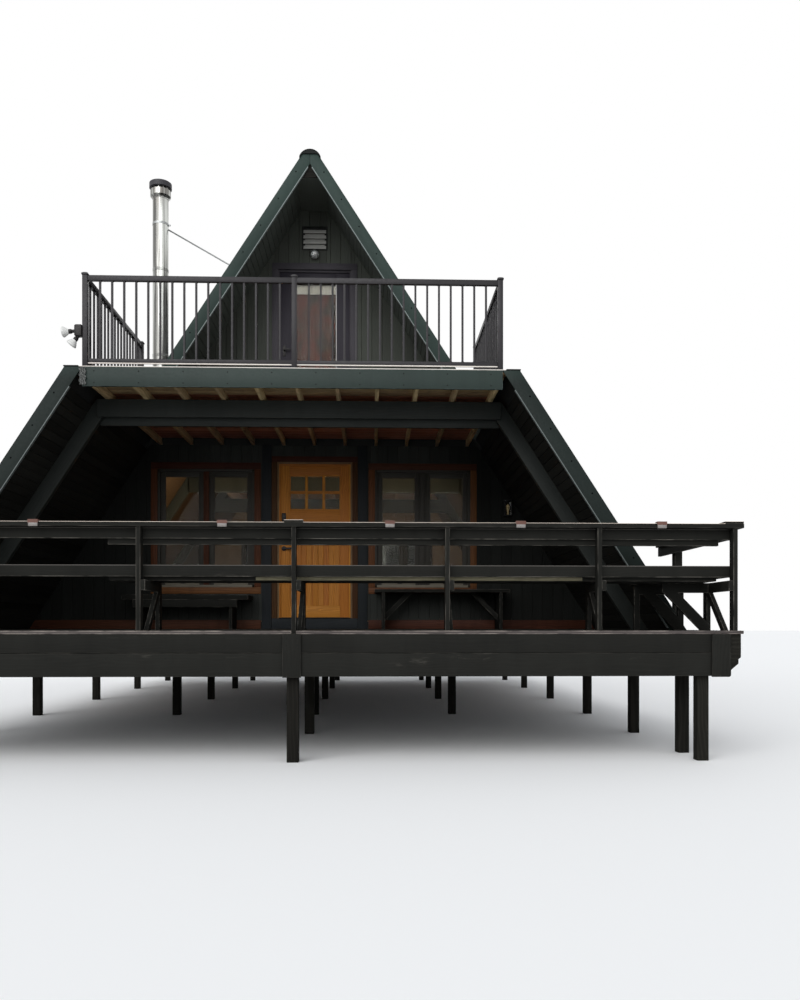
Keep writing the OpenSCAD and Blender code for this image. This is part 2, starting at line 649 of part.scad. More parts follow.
module bench_frames() color([0.24, 0.25, 0.25]) place() {
    for (k = [-1 : 2]) {
        x = front_shift + k * rail_pitch;
        end_y = bench_y + seat_d;
        box(x + 19, x + 57, post_y + 6, end_y - 10, bearer_z, seat_z - lumber);
        box(x + 19, x + 57, end_y - 100, end_y - 10, deck_h, bearer_z + 20);
        translate([x + 19, 0, 0]) rotate([90, 0, 90]) linear_extrude(height = lumber)
            polygon([[post_y + 100, deck_h], [post_y + 190, deck_h], [end_y - 60, bearer_z + 9], [end_y - 150, bearer_z + 9]]);
    }
    translate([deck_half, 0, 0]) {
        y1 = -deck_d + 473;
        y2 = -deck_d + 916;
        end_y = bench_y + seat_d;
        box(-548, -106, y1, y1 + lumber, bearer_z, seat_z - lumber);
        slab(y1, y1 + lumber, [[-194, deck_h], [-106, deck_h], [-106, deck_h + 46], [-407, bearer_z + 9], [-541, bearer_z + 9]]);
        box(-670, -190, y2, y2 + lumber, bearer_z, seat_z - lumber);
        for (x = [-670, -246]) box(x, x + 56, y2, y2 + lumber, deck_h, bearer_z + 20);
        slab(y2, y2 + lumber, [[-246, deck_h], [-246, deck_h + 130], [-458, bearer_z + 9], [-593, bearer_z + 9], [-276, deck_h]]);
        box(-125, -87, post_y + 6, end_y - 10, bearer_z, seat_z - lumber);
        box(-125, -87, end_y - 100, end_y - 10, deck_h, bearer_z + 20);
        translate([-125, 0, 0]) rotate([90, 0, 90]) linear_extrude(height = lumber)
            polygon([[post_y + 100, deck_h], [post_y + 190, deck_h], [end_y - 60, bearer_z + 9], [end_y - 150, bearer_z + 9]]);
    }
    translate([-win_x - 885, 0, 0]) {
        for (s = [-1, 1]) box(s * 560 - 19, s * 560 + 19, -442, -60, deck_h, deck_h + 371);
        box(-646, 646, -480, -442, deck_h + 275, deck_h + 371);
    }
    for (s = [-1, 1])
        translate([win_x + 930, 0, 0]) {
            box(s * 740 - 19, s * 740 + 19, -500, -60, deck_h, deck_h + 464);
            slab(-330, -230, [[s * 700, deck_h + 130], [s * 721, deck_h + 110], [s * 721, deck_h + 190], [s * 447, deck_h + 464],
                [s * 367, deck_h + 464]]);
        }
}

module rail_lights() color([0.72, 0.5, 0.36]) place()
    for (k = [-1.592, -0.389, 0.693, 1.546, 2.474])
        translate([k * rail_pitch, 0, 0]) {
            box(-42, 42, cap_y - 19, cap_y + 40, rail_z, rail_z + 14);
            box(-42, 42, cap_y - 19, cap_y, rail_z - 44, rail_z + 14);
        }

// chimney

module chimney_pipe() color([0.72, 0.73, 0.74]) place()
    translate([-pipe_x, pipe_y, 0]) {
        translate([0, 0, pipe_roof_z - 310]) cylinder(h = pipe_top - 140 - pipe_roof_z + 310, d = pipe_d, $fn = 48);
        for (z = [pipe_top - 1262, pipe_top - 2455]) translate([0, 0, z]) cylinder(h = 44, d = pipe_d + 8, $fn = 48);
        translate([0, 0, pipe_top - 250]) cylinder(h = 40, d1 = pipe_d + 4, d2 = pipe_d + 65, $fn = 48);
        translate([0, 0, pipe_top - 210]) cylinder(h = 80, d = pipe_d + 65, $fn = 48);
        translate([0, 0, pipe_top - 140]) cylinder(h = 50, d = pipe_d - 60, $fn = 48);
        translate([0, 0, pipe_top - 100]) cylinder(h = 72, d = pipe_d + 91, $fn = 48);
        translate([0, 0, pipe_top - 28]) cylinder(h = 28, d1 = pipe_d + 91, d2 = pipe_d - 30, $fn = 48);
    }

module chimney_flashing() color([0.5, 0.5, 0.5]) place()
    difference() {
        union() {
            translate([-pipe_x, pipe_y, pipe_roof_z - 400]) cylinder(h = 640, d = pipe_d + 50, $fn = 48);
            strip(-1, pipe_y - 330, pipe_y + 330, pipe_roof_z - 380, pipe_roof_z + 380, -4, -seat);
        }
        strip(-1, pipe_y - 400, pipe_y + 400, pipe_roof_z - 600, pipe_roof_z + 700, -seat, 600);
        translate([-pipe_x, pipe_y, pipe_roof_z - 600]) cylinder(h = 1200, d = pipe_d + 2 * seat, $fn = 48);
    }

module chimney_stay() color([0.45, 0.45, 0.44]) place() {
    z1 = pipe_top - 665;
    x2 = pipe_x - pipe_d / 2 - 1405 + 10;
    z2 = apex - x2 * tan(roof_pitch);
    dx = pipe_x - pipe_d / 2 - x2;
    dz = z1 - z2;
    difference() {
        translate([-pipe_x + pipe_d / 2 - 8, pipe_y, z1 + 8 * dz / dx])
            rotate([0, 90 + atan2(dz, dx), 0]) cylinder(h = norm([dx, dz]) + 30, d = 20, $fn = 16);
        translate([-pipe_x, pipe_y, z1 - 300]) cylinder(h = 600, d = pipe_d, $fn = 48);
        strip(-1, pipe_y - 100, pipe_y + 100, z2 - 400, z2 + 400, -seat, 300);
    }
    translate([0, 0, 2 * seat]) slab(pipe_y - 50, pipe_y - 12, [[-x2 - 40, apex - (x2 + 40) * tan(roof_pitch)], [-x2 + 40, apex - (x2 - 40) * tan(roof_pitch)],
        [-x2 + 20, apex - (x2 - 40) * tan(roof_pitch) + 20], [-x2 - 60, apex - (x2 + 40) * tan(roof_pitch) + 20]]);
}

// Piece to draw, all for the whole cabin

foundation_posts();
floor_beams();
deck_joists();
house_joists();
floor_rims();
house_floor();
porch_deck();
skirt_boards();
roof_left();
roof_right();
porch_lining();
ridge_beam();
ridge_cap();
roof_fascias();
shoulder_flashing();
bent_legs();
cross_beams();
front_wall_left();
front_wall_right();
front_wall_head();
front_gable();
rear_wall();
rear_gable();
wall_posts();
base_boards();
door_sill();
door_frame();
door_trim();
door_leaf();
door_glass();
door_handle();
window_frames();
window_sashes();
window_glass();
upper_door_trim();
upper_door_leaf();
upper_door_glass();
gable_vent();
gable_light();
wall_lantern();
loft_floor();
loft_joists();
balcony_deck();
balcony_joists();
balcony_fascia();
balcony_edging();
railing_front();
railing_sides();
balcony_posts();
floodlight();
rail_posts();
rail_caps();
rail_boards();
bench_boards();
bench_frames();
rail_lights();
chimney_pipe();
chimney_flashing();
chimney_stay();
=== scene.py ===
import math

import bpy
import numpy as np
from mathutils import Matrix, Vector


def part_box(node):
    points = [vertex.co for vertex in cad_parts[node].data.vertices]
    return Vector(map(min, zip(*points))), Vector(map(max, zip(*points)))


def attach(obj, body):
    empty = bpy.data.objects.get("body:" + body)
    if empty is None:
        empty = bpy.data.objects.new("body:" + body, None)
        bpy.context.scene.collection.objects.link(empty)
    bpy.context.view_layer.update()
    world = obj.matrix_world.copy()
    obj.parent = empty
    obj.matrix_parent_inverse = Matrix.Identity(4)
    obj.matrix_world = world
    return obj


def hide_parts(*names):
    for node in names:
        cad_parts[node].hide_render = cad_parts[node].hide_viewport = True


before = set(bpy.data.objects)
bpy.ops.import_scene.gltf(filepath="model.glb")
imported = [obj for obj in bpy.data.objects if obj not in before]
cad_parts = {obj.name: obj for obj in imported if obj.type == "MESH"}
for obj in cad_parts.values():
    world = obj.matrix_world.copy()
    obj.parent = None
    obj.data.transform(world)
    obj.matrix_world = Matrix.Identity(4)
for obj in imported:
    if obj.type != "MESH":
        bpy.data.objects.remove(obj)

bl_info = {
    "name": "A-frame cabin",
    "version": (1, 0, 0),
    "blender": (4, 5, 0),
    "location": "3D View > Sidebar > Cabin",
    "description": "Finishes the packed A-frame cabin with boards, shingles, glass and metal",
    "category": "Object",
}

# places that the packed construction gives, in metres
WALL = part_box("front_wall_left")[0].y
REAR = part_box("rear_wall")[1].y
DECK_LOW, DECK_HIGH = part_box("porch_deck")
BALCONY_LOW, BALCONY_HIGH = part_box("balcony_deck")
ROOF_LOW, ROOF_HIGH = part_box("roof_right")
FLOOR_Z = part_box("house_floor")[1].z
EAVES_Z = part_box("front_wall_left")[1].z
PITCH = math.radians(57)
APEX = ROOF_LOW.z + ROOF_HIGH.x * math.tan(PITCH)
ROOF_T = 0.07           # thickness of the roof slabs
LINING = 0.11           # depth of the porch lining's inner face
THIN_LINING = 0.009     # thickness of the boards under the upper overhang
SIDING_T = 0.014        # thickness of the wall boards
OVERHANG_Y = WALL - 0.87    # front of the upper roof
FASCIA_SHADE_HEIGHTS = (3.5, 3.75)  # heights between which the painted shade on the fascias fades out


def reach(z, depth=0.0):
    """Half width of the roof at height z, depth metres inside its outer face."""
    return (APEX - z) / math.tan(PITCH) - depth / math.sin(PITCH)


def slope_matrix(side):
    """Puts a flat piece on a roof side: its X runs to the rear, its Y up the slope from the apex, its Z outwards."""
    up = Vector((-side * math.cos(PITCH), 0, math.sin(PITCH)))
    out = Vector((side * math.sin(PITCH), 0, math.cos(PITCH)))
    along = Vector((0, side, 0))
    turn = Matrix((along, up, out)).transposed().to_4x4()
    return Matrix.Translation((0, 0, APEX)) @ turn @ Matrix.Scale(side, 4, (1, 0, 0))


def down(z):
    """Distance from the apex down the slope to height z, as a negative number."""
    return -(APEX - z) / math.sin(PITCH)


# ---- node helpers

class Net:
    """Adds nodes to one tree. Each method but put and group gives an output of the node that it adds."""

    def __init__(self, tree):
        self.tree = tree

    def put(self, node, values):
        for key, value in values.items():
            socket = node.inputs[key]
            if isinstance(value, bpy.types.NodeSocket):
                self.tree.links.new(value, socket)
            else:
                socket.default_value = (*value, 1) if socket.type == "RGBA" else value
        return node

    def group(self, name, **values):
        """The outputs of a placed node group."""
        node = self.tree.nodes.new("ShaderNodeGroup")
        node.node_tree = GROUPS[name]()
        return self.put(node, values).outputs

    def add(self, kind, values=None, output=0, **settings):
        node = self.tree.nodes.new("ShaderNode" + kind)
        for key, value in settings.items():
            setattr(node, key, value)
        return self.put(node, values or {}).outputs[output]

    def mix(self, share, a, b):
        return self.add("Mix", {0: share, 6: a, 7: b}, 2, data_type="RGBA")

    def math(self, operation, a, b=0.5, clamp=False):
        return self.add("Math", {0: a, 1: b}, operation=operation, use_clamp=clamp)

    def times(self, a, b, clamp=False):
        return self.math("MULTIPLY", a, b, clamp)

    def plus(self, a, b, clamp=False):
        return self.math("ADD", a, b, clamp)

    def spread(self, value, low=0.0, high=1.0, to_low=0.0, to_high=1.0):
        return self.add("MapRange",
                        {"Value": value, "From Min": low, "From Max": high, "To Min": to_low, "To Max": to_high})

    def mapped(self, vector, **values):
        return self.add("Mapping", {"Vector": vector, **values})

    def noise(self, vector, scale, stretch=(1, 1, 1), detail=4.0, rough=0.55, twist=0.0):
        if stretch != (1, 1, 1):
            vector = self.mapped(vector, Scale=stretch)
        return self.add("TexNoise",
                        {"Vector": vector, "Scale": scale, "Detail": detail, "Roughness": rough, "Distortion": twist})

    def read(self, name, output="Fac"):
        """A mesh attribute."""
        return self.add("Attribute", output=output, attribute_name=name)

    def axis(self, vector, letter="Z"):
        return self.add("SeparateXYZ", {0: vector}, letter)

    def upward(self, normal="True Normal"):
        return self.axis(self.add("NewGeometry", output=normal))

    def bump(self, height, strength, distance):
        return self.add("Bump", {"Strength": strength, "Distance": distance, "Height": height})

    def shaded(self, base, value):
        return self.add("HueSaturation", {"Value": value, "Color": base})

    def worn(self, vector, edges, flakes):
        return self.group("edge wear", Vector=vector, Edge=self.read("edge"), Edges=edges, Flakes=flakes)["Worn"]

    def toned(self, base, amount):
        return self.group("board tone", Color=base, Tone=self.read("tone"), Amount=amount)["Color"]


GROUPS = {}


def node_group(name, **given):
    """Makes the function under it a shader node group with these inputs, built once. None stands for a vector."""
    def keep(build):
        def make():
            tree = bpy.data.node_groups.get(name)
            if tree:
                return tree
            tree = bpy.data.node_groups.new(name, "ShaderNodeTree")
            for label, default in given.items():
                kind = "Vector" if default is None else "Color" if isinstance(default, tuple) else "Float"
                socket = tree.interface.new_socket(name=label, in_out="INPUT", socket_type="NodeSocket" + kind)
                if default is not None:
                    socket.default_value = default
            net = Net(tree)
            results = build(net, tree.nodes.new("NodeGroupInput").outputs)
            for label, value in results.items():
                kind = "Color" if value.type == "RGBA" else "Float"
                tree.interface.new_socket(name=label, in_out="OUTPUT", socket_type="NodeSocket" + kind)
            net.put(tree.nodes.new("NodeGroupOutput"), results)
            return tree
        GROUPS[name] = make
        return make
    return keep


@node_group("timber grain", Vector=None, Scale=1.0)
def grain_nodes(net, given):
    wide = net.add("VectorMath", {0: given["Vector"], "Scale": given["Scale"]}, operation="SCALE")
    wavy = net.noise(wide, 2.2, (0.5, 2.0, 2.0), 2.0)
    sway = net.add("CombineXYZ", {1: net.times(wavy, 0.18), 2: net.times(wavy, 0.12)})
    bent = net.add("VectorMath", {0: wide, 1: sway}, operation="ADD")
    streak = net.noise(bent, 9.0, (0.12, 3.4, 3.4), 6.0, 0.62)
    fine = net.noise(bent, 60.0, (0.05, 3.0, 3.0), 3.0, 0.6)
    rings = net.add("TexWave", {"Vector": net.mapped(bent, Scale=(0.06, 1.0, 1.0)), "Scale": 11.0, "Distortion": 5.5,
                                "Detail": 3.0, "Detail Scale": 1.2}, "Fac", bands_direction="Y", wave_profile="SIN")
    spots = net.add("TexVoronoi", {"Vector": net.mapped(wide, Scale=(1.1, 4.2, 4.2)), "Scale": 1.5}, "Distance")
    figure = net.plus(net.times(streak, 0.55), net.times(net.math("POWER", rings, 1.8), 0.45))
    height = net.plus(net.times(fine, 0.5), net.times(figure, 0.5))
    return {"Figure": figure, "Fine": fine, "Knot": net.spread(spots, 0.17, 0.05), "Height": height}


@node_group("edge wear", Vector=None, Edge=0.0, Edges=0.6, Flakes=0.2)
def wear_nodes(net, given):
    broken = net.noise(given["Vector"], 14.0, (0.35, 1.6, 1.6), 5.0, 0.65)
    patches = net.noise(given["Vector"], 3.0, (0.4, 1.5, 1.5), 4.0, 0.6)
    on_edge = net.times(given["Edge"], net.spread(broken, 0.42, 0.62), True)
    flaked = net.times(net.spread(patches, 0.6, 0.72), net.spread(broken, 0.52, 0.64), True)
    return {"Worn": net.plus(net.times(on_edge, given["Edges"]), net.times(flaked, given["Flakes"]), True)}


@node_group("weather stain", Vector=None)
def stain_nodes(net, given):
    cloud = net.noise(given["Vector"], 1.3, detail=5.0, rough=0.6)
    runs = net.noise(given["Vector"], 7.0, (1.0, 1.0, 0.12), 4.0, 0.6)
    dust = net.noise(given["Vector"], 45.0, detail=3.0, rough=0.6)
    return {"Cloud": net.spread(cloud, 0.35, 0.68), "Runs": net.spread(runs, 0.5, 0.72),
            "Dust": net.spread(dust, 0.45, 0.7)}


@node_group("board tone", Color=(0.5, 0.5, 0.5, 1), Tone=0.5, Amount=0.15)
def tone_nodes(net, given):
    shift = net.spread(given["Tone"], to_low=-1.0)
    value = net.plus(1.0, net.times(shift, given["Amount"]))
    hue = net.plus(0.5, net.times(shift, 0.008))
    return {"Color": net.add("HueSaturation", {"Hue": hue, "Value": value, "Color": given["Color"]})}


@node_group("brushed metal", Vector=None)
def brush_nodes(net, given):
    lines = net.noise(given["Vector"], 120.0, (1, 1, 0.02), 3.0, 0.6)
    bands = net.noise(given["Vector"], 18.0, (1, 1, 0.03), 3.0, 0.5)
    smudge = net.noise(given["Vector"], 3.0, detail=5.0, rough=0.6)
    return {"Lines": lines, "Bands": bands, "Smudge": net.spread(smudge, 0.35, 0.7)}


@node_group("shingle grit", Vector=None)
def grit_nodes(net, given):
    grains = net.add("TexVoronoi", {"Vector": given["Vector"], "Scale": 420.0}).node.outputs
    patches = net.noise(given["Vector"], 4.0, rough=0.6)
    return {"Grain": grains["Color"], "Height": grains["Distance"], "Patch": net.spread(patches, 0.3, 0.7)}


# ---- materials: each maker adds its nodes and gives the values of the shader's inputs

def shade(c, share):
    return tuple(min(1.0, x * share) for x in c)


def shades(c, *shares):
    return [shade(c, share) for share in shares]


def timber(net, place, dark, light, rough=0.6, tone=0.2, scale=1.0, knots=0.5, bump=0.35, stain=0.3, shine=0.25,
           loose=False, top=None):
    """Bare or varnished wood. With loose, the grain follows the object's X, for a piece with no board attribute."""
    figure = net.group("timber grain", Vector=place if loose else net.read("grain", "Vector"), Scale=scale)
    base = net.mix(figure["Figure"], dark, light)
    base = net.mix(net.times(figure["Fine"], 0.35), base, shade(dark, 0.55))
    base = net.mix(net.times(figure["Knot"], knots), base, shade(dark, 0.3))
    runs = net.group("weather stain", Vector=place)["Runs"]
    base = net.mix(net.times(runs, stain), base, shade(dark, 0.45))
    if top:
        worn = net.mix(figure["Figure"], *shades(top, 0.6, 1.3))
        base = net.mix(net.spread(net.upward(), 0.3, 0.6), base, worn)
    return {"Base Color": net.toned(base, tone), "Specular IOR Level": shine,
            "Roughness": net.spread(figure["Fine"], 0.2, 0.8, rough - 0.1, rough + 0.12),
            "Normal": net.bump(figure["Height"], bump, 0.002)}


def painted(net, place, paint, under, rough=0.6, tone=0.1, edges=0.6, flakes=0.2, grain=0.5, dust=0.25, shine=0.15,
            painted_highlight=None, painted_corner_shade=1.0):
    """Paint or stain on wood, with worn edges, flakes that show the wood under it, and grain that shows through."""
    vector = net.read("grain", "Vector")
    figure = net.group("timber grain", Vector=vector, Scale=1.3)
    weather = net.group("weather stain", Vector=place)
    coat = net.mix(net.times(figure["Figure"], grain), *shades(paint, 0.78, 1.28))
    coat = net.mix(net.times(weather["Cloud"], dust), coat, shade(paint, 1.7))
    coat = net.mix(net.times(weather["Runs"], 0.3), coat, shade(paint, 0.6))
    worn = net.worn(vector, edges, flakes)
    base = net.mix(worn, coat, net.mix(figure["Figure"], *shades(under, 0.7, 1.25)))
    # painted highlight: marked edges that face upwards take a lighter colour, as if they caught the sky
    if painted_highlight:
        base = net.mix(net.times(net.read("edge"), net.spread(net.upward(), 0.1, 0.18)), base, painted_highlight)
    # painted shade: the colour darkens towards the sides of the porch wall
    if painted_corner_shade < 1.0:
        side = net.math("ABSOLUTE", net.axis(place, "X"))
        base = net.shaded(base, net.spread(side, 1.3, 2.2, 1.0, painted_corner_shade))
    lift = net.math("SUBTRACT", figure["Height"], net.times(worn, 0.5))
    rough = net.plus(net.spread(figure["Fine"], 0.2, 0.8, rough - 0.08, rough + 0.1), net.times(worn, 0.2))
    return {"Base Color": net.toned(base, tone), "Specular IOR Level": shine, "Roughness": rough,
            "Normal": net.bump(lift, 0.3, 0.0015)}


def coated_metal(net, place, paint, rough=0.4, metallic=0.0, dust=0.15, edges=0.0, bright=None, shine=0.3, low=1.0):
    """Powder-coated, painted or plain sheet metal. Low is the share of the tone that dirt leaves below the balcony."""
    weather = net.group("weather stain", Vector=place)
    base = net.mix(net.times(weather["Cloud"], dust), paint, shade(paint, 1.7))
    base = net.mix(net.times(weather["Runs"], 0.25), base, shade(paint, 0.6))
    if edges:
        base = net.mix(net.worn(place, edges, 0.0), base, bright)
    # painted shade: the metal darkens to the share low below the balcony
    if low < 1.0:
        base = net.shaded(base, net.spread(net.axis(place), *FASCIA_SHADE_HEIGHTS, low, 1.0))
    return {"Base Color": base, "Metallic": metallic, "Specular IOR Level": shine,
            "Roughness": net.spread(weather["Dust"], to_low=rough, to_high=rough + 0.15),
            "Normal": net.bump(weather["Dust"], 0.06, 0.001)}


def stainless(net, place):
    """Brushed flue pipe, with soot and rain marks."""
    brushed = net.group("brushed metal", Vector=place)
    weather = net.group("weather stain", Vector=place)
    base = net.mix(net.spread(brushed["Bands"], 0.42, 0.58), (0.13, 0.13, 0.125), (0.68, 0.7, 0.67))
    base = net.mix(net.times(brushed["Smudge"], 0.3), base, (0.3, 0.29, 0.27))
    near_top = net.spread(net.axis(place), 6.9, 7.3)
    soot = net.times(near_top, net.spread(weather["Cloud"], to_low=0.3, to_high=0.8))
    return {"Base Color": net.mix(soot, base, (0.12, 0.1, 0.085)), "Metallic": 1.0,
            "Roughness": net.spread(brushed["Lines"], 0.3, 0.7, 0.2, 0.38),
            "Normal": net.bump(brushed["Lines"], 0.08, 0.0005)}


def glass(net, place, tint, rough, ior):
    """Window glass with faint dust, with a darker tint in the rear wall."""
    weather = net.group("weather stain", Vector=place)
    # painted shade: the rear wall's panes darken nearly to black
    rear = net.spread(net.axis(place, "Y"), REAR - 0.4, REAR - 0.3)
    tint_with_rear_shade = net.mix(rear, tint, shade(tint, 0.015))
    return {"Base Color": net.mix(net.times(weather["Runs"], 0.3), tint_with_rear_shade, shade(tint, 0.6)),
            "Roughness": net.spread(weather["Cloud"], to_low=rough, to_high=rough + 0.02),
            "Transmission Weight": 1.0, "IOR": ior}


def shingle(net, place, dark, light):
    """Mineral-faced asphalt shingle, each tab with its own tone."""
    grit = net.group("shingle grit", Vector=place)
    weather = net.group("weather stain", Vector=place)
    base = net.mix(net.add("RGBToBW", {0: grit["Grain"]}), shade(dark, 0.7), shade(light, 1.1))
    base = net.mix(net.times(grit["Patch"], 0.35), base, dark)
    base = net.mix(net.times(weather["Runs"], 0.3), base, (0.028, 0.034, 0.02))
    return {"Base Color": net.toned(base, 0.35), "Specular IOR Level": 0.2,
            "Roughness": net.spread(grit["Height"], to_low=0.8, to_high=0.95),
            "Normal": net.bump(grit["Height"], 0.4, 0.002)}


def indoors(net, place, near, far):
    """A mask that turns on between these two distances behind the walls' outer faces."""
    y = net.axis(place, "Y")
    return net.times(net.spread(y, WALL + near, WALL + far), net.spread(y, REAR - near, REAR - far))


def body_wood(net, place, wood, turn):
    """Pine boards on a carried-over node: its grain and its colour."""
    figure = net.group("timber grain", Vector=net.mapped(place, Rotation=turn), Scale=1.0)
    return figure, net.mix(figure["Figure"], *shades(wood, 0.7, 1.2))


def body_inputs(net, figure, base, rough):
    return {"Base Color": base, "Roughness": net.spread(rough, to_low=0.7, to_high=0.9), "Specular IOR Level": 0.2,
            "Normal": net.bump(figure["Height"], 0.2, 0.002)}


def roof_body(net, place, dark, wood):
    """The carried-over roof slabs: dark felt outside, pine boards inside, dark boards under the overhangs."""
    under = net.spread(net.upward("Normal"), 0.05, -0.05)
    dust = net.group("weather stain", Vector=place)["Dust"]
    figure, pine = body_wood(net, place, wood, (0, 0, math.pi / 2))
    outside = net.mix(dust, *shades(dark, 0.8, 1.3))
    return body_inputs(net, figure, net.mix(under, outside, net.mix(indoors(net, place, 0.04, 0.06), dark, pine)),
                       dust)


def wall_body(net, place, dark, wood):
    """The carried-over walls: dark behind the outer boards, pine boards towards the rooms."""
    figure, pine = body_wood(net, place, wood, (0, math.pi / 2, 0))
    return body_inputs(net, figure, net.mix(indoors(net, place, 0.104, 0.108), dark, pine), figure["Fine"])


def glow(net, place, tint, strength=0.0):
    """A lamp's frosted lens or bulb."""
    dust = net.group("weather stain", Vector=place)["Dust"]
    return {"Base Color": net.mix(dust, shade(tint, 0.9), tint),
            "Roughness": net.spread(dust, to_low=0.25, to_high=0.4),
            "Coat Weight": 0.3, "Emission Strength": strength, "Emission Color": tint}


def cloth(net, place, ground, accent):
    """Woven curtain with a loose mottled pattern of leaf-like patches."""
    patches = net.noise(place, 7.0, (1, 1, 0.5), 5.0, 0.65, 0.6)
    threads = net.noise(place, 420.0, (1, 1, 0.2), 2.0)
    base = net.mix(net.spread(patches, 0.42, 0.6), ground, accent)
    # painted glints: pale flecks put into the cloth's colour
    painted_glints = net.times(net.spread(net.noise(place, 38.0, (1, 1, 0.6), 3.0, 0.6), 0.6, 0.64),
                       net.spread(patches, 0.4, 0.5))
    base = net.mix(net.times(painted_glints, 0.55), base, (0.42, 0.4, 0.34))
    return {"Base Color": net.mix(net.times(threads, 0.4), base, shade(ground, 0.5)),
            "Roughness": net.spread(threads, to_low=0.85, to_high=0.95), "Normal": net.bump(threads, 0.2, 0.001)}


OLD_WOOD = (0.2, 0.185, 0.16)
STAINED = (0.09, 0.075, 0.06)
TRODDEN = {"top": (0.13, 0.1, 0.075)}
BEHIND = (0.02, 0.021, 0.02)


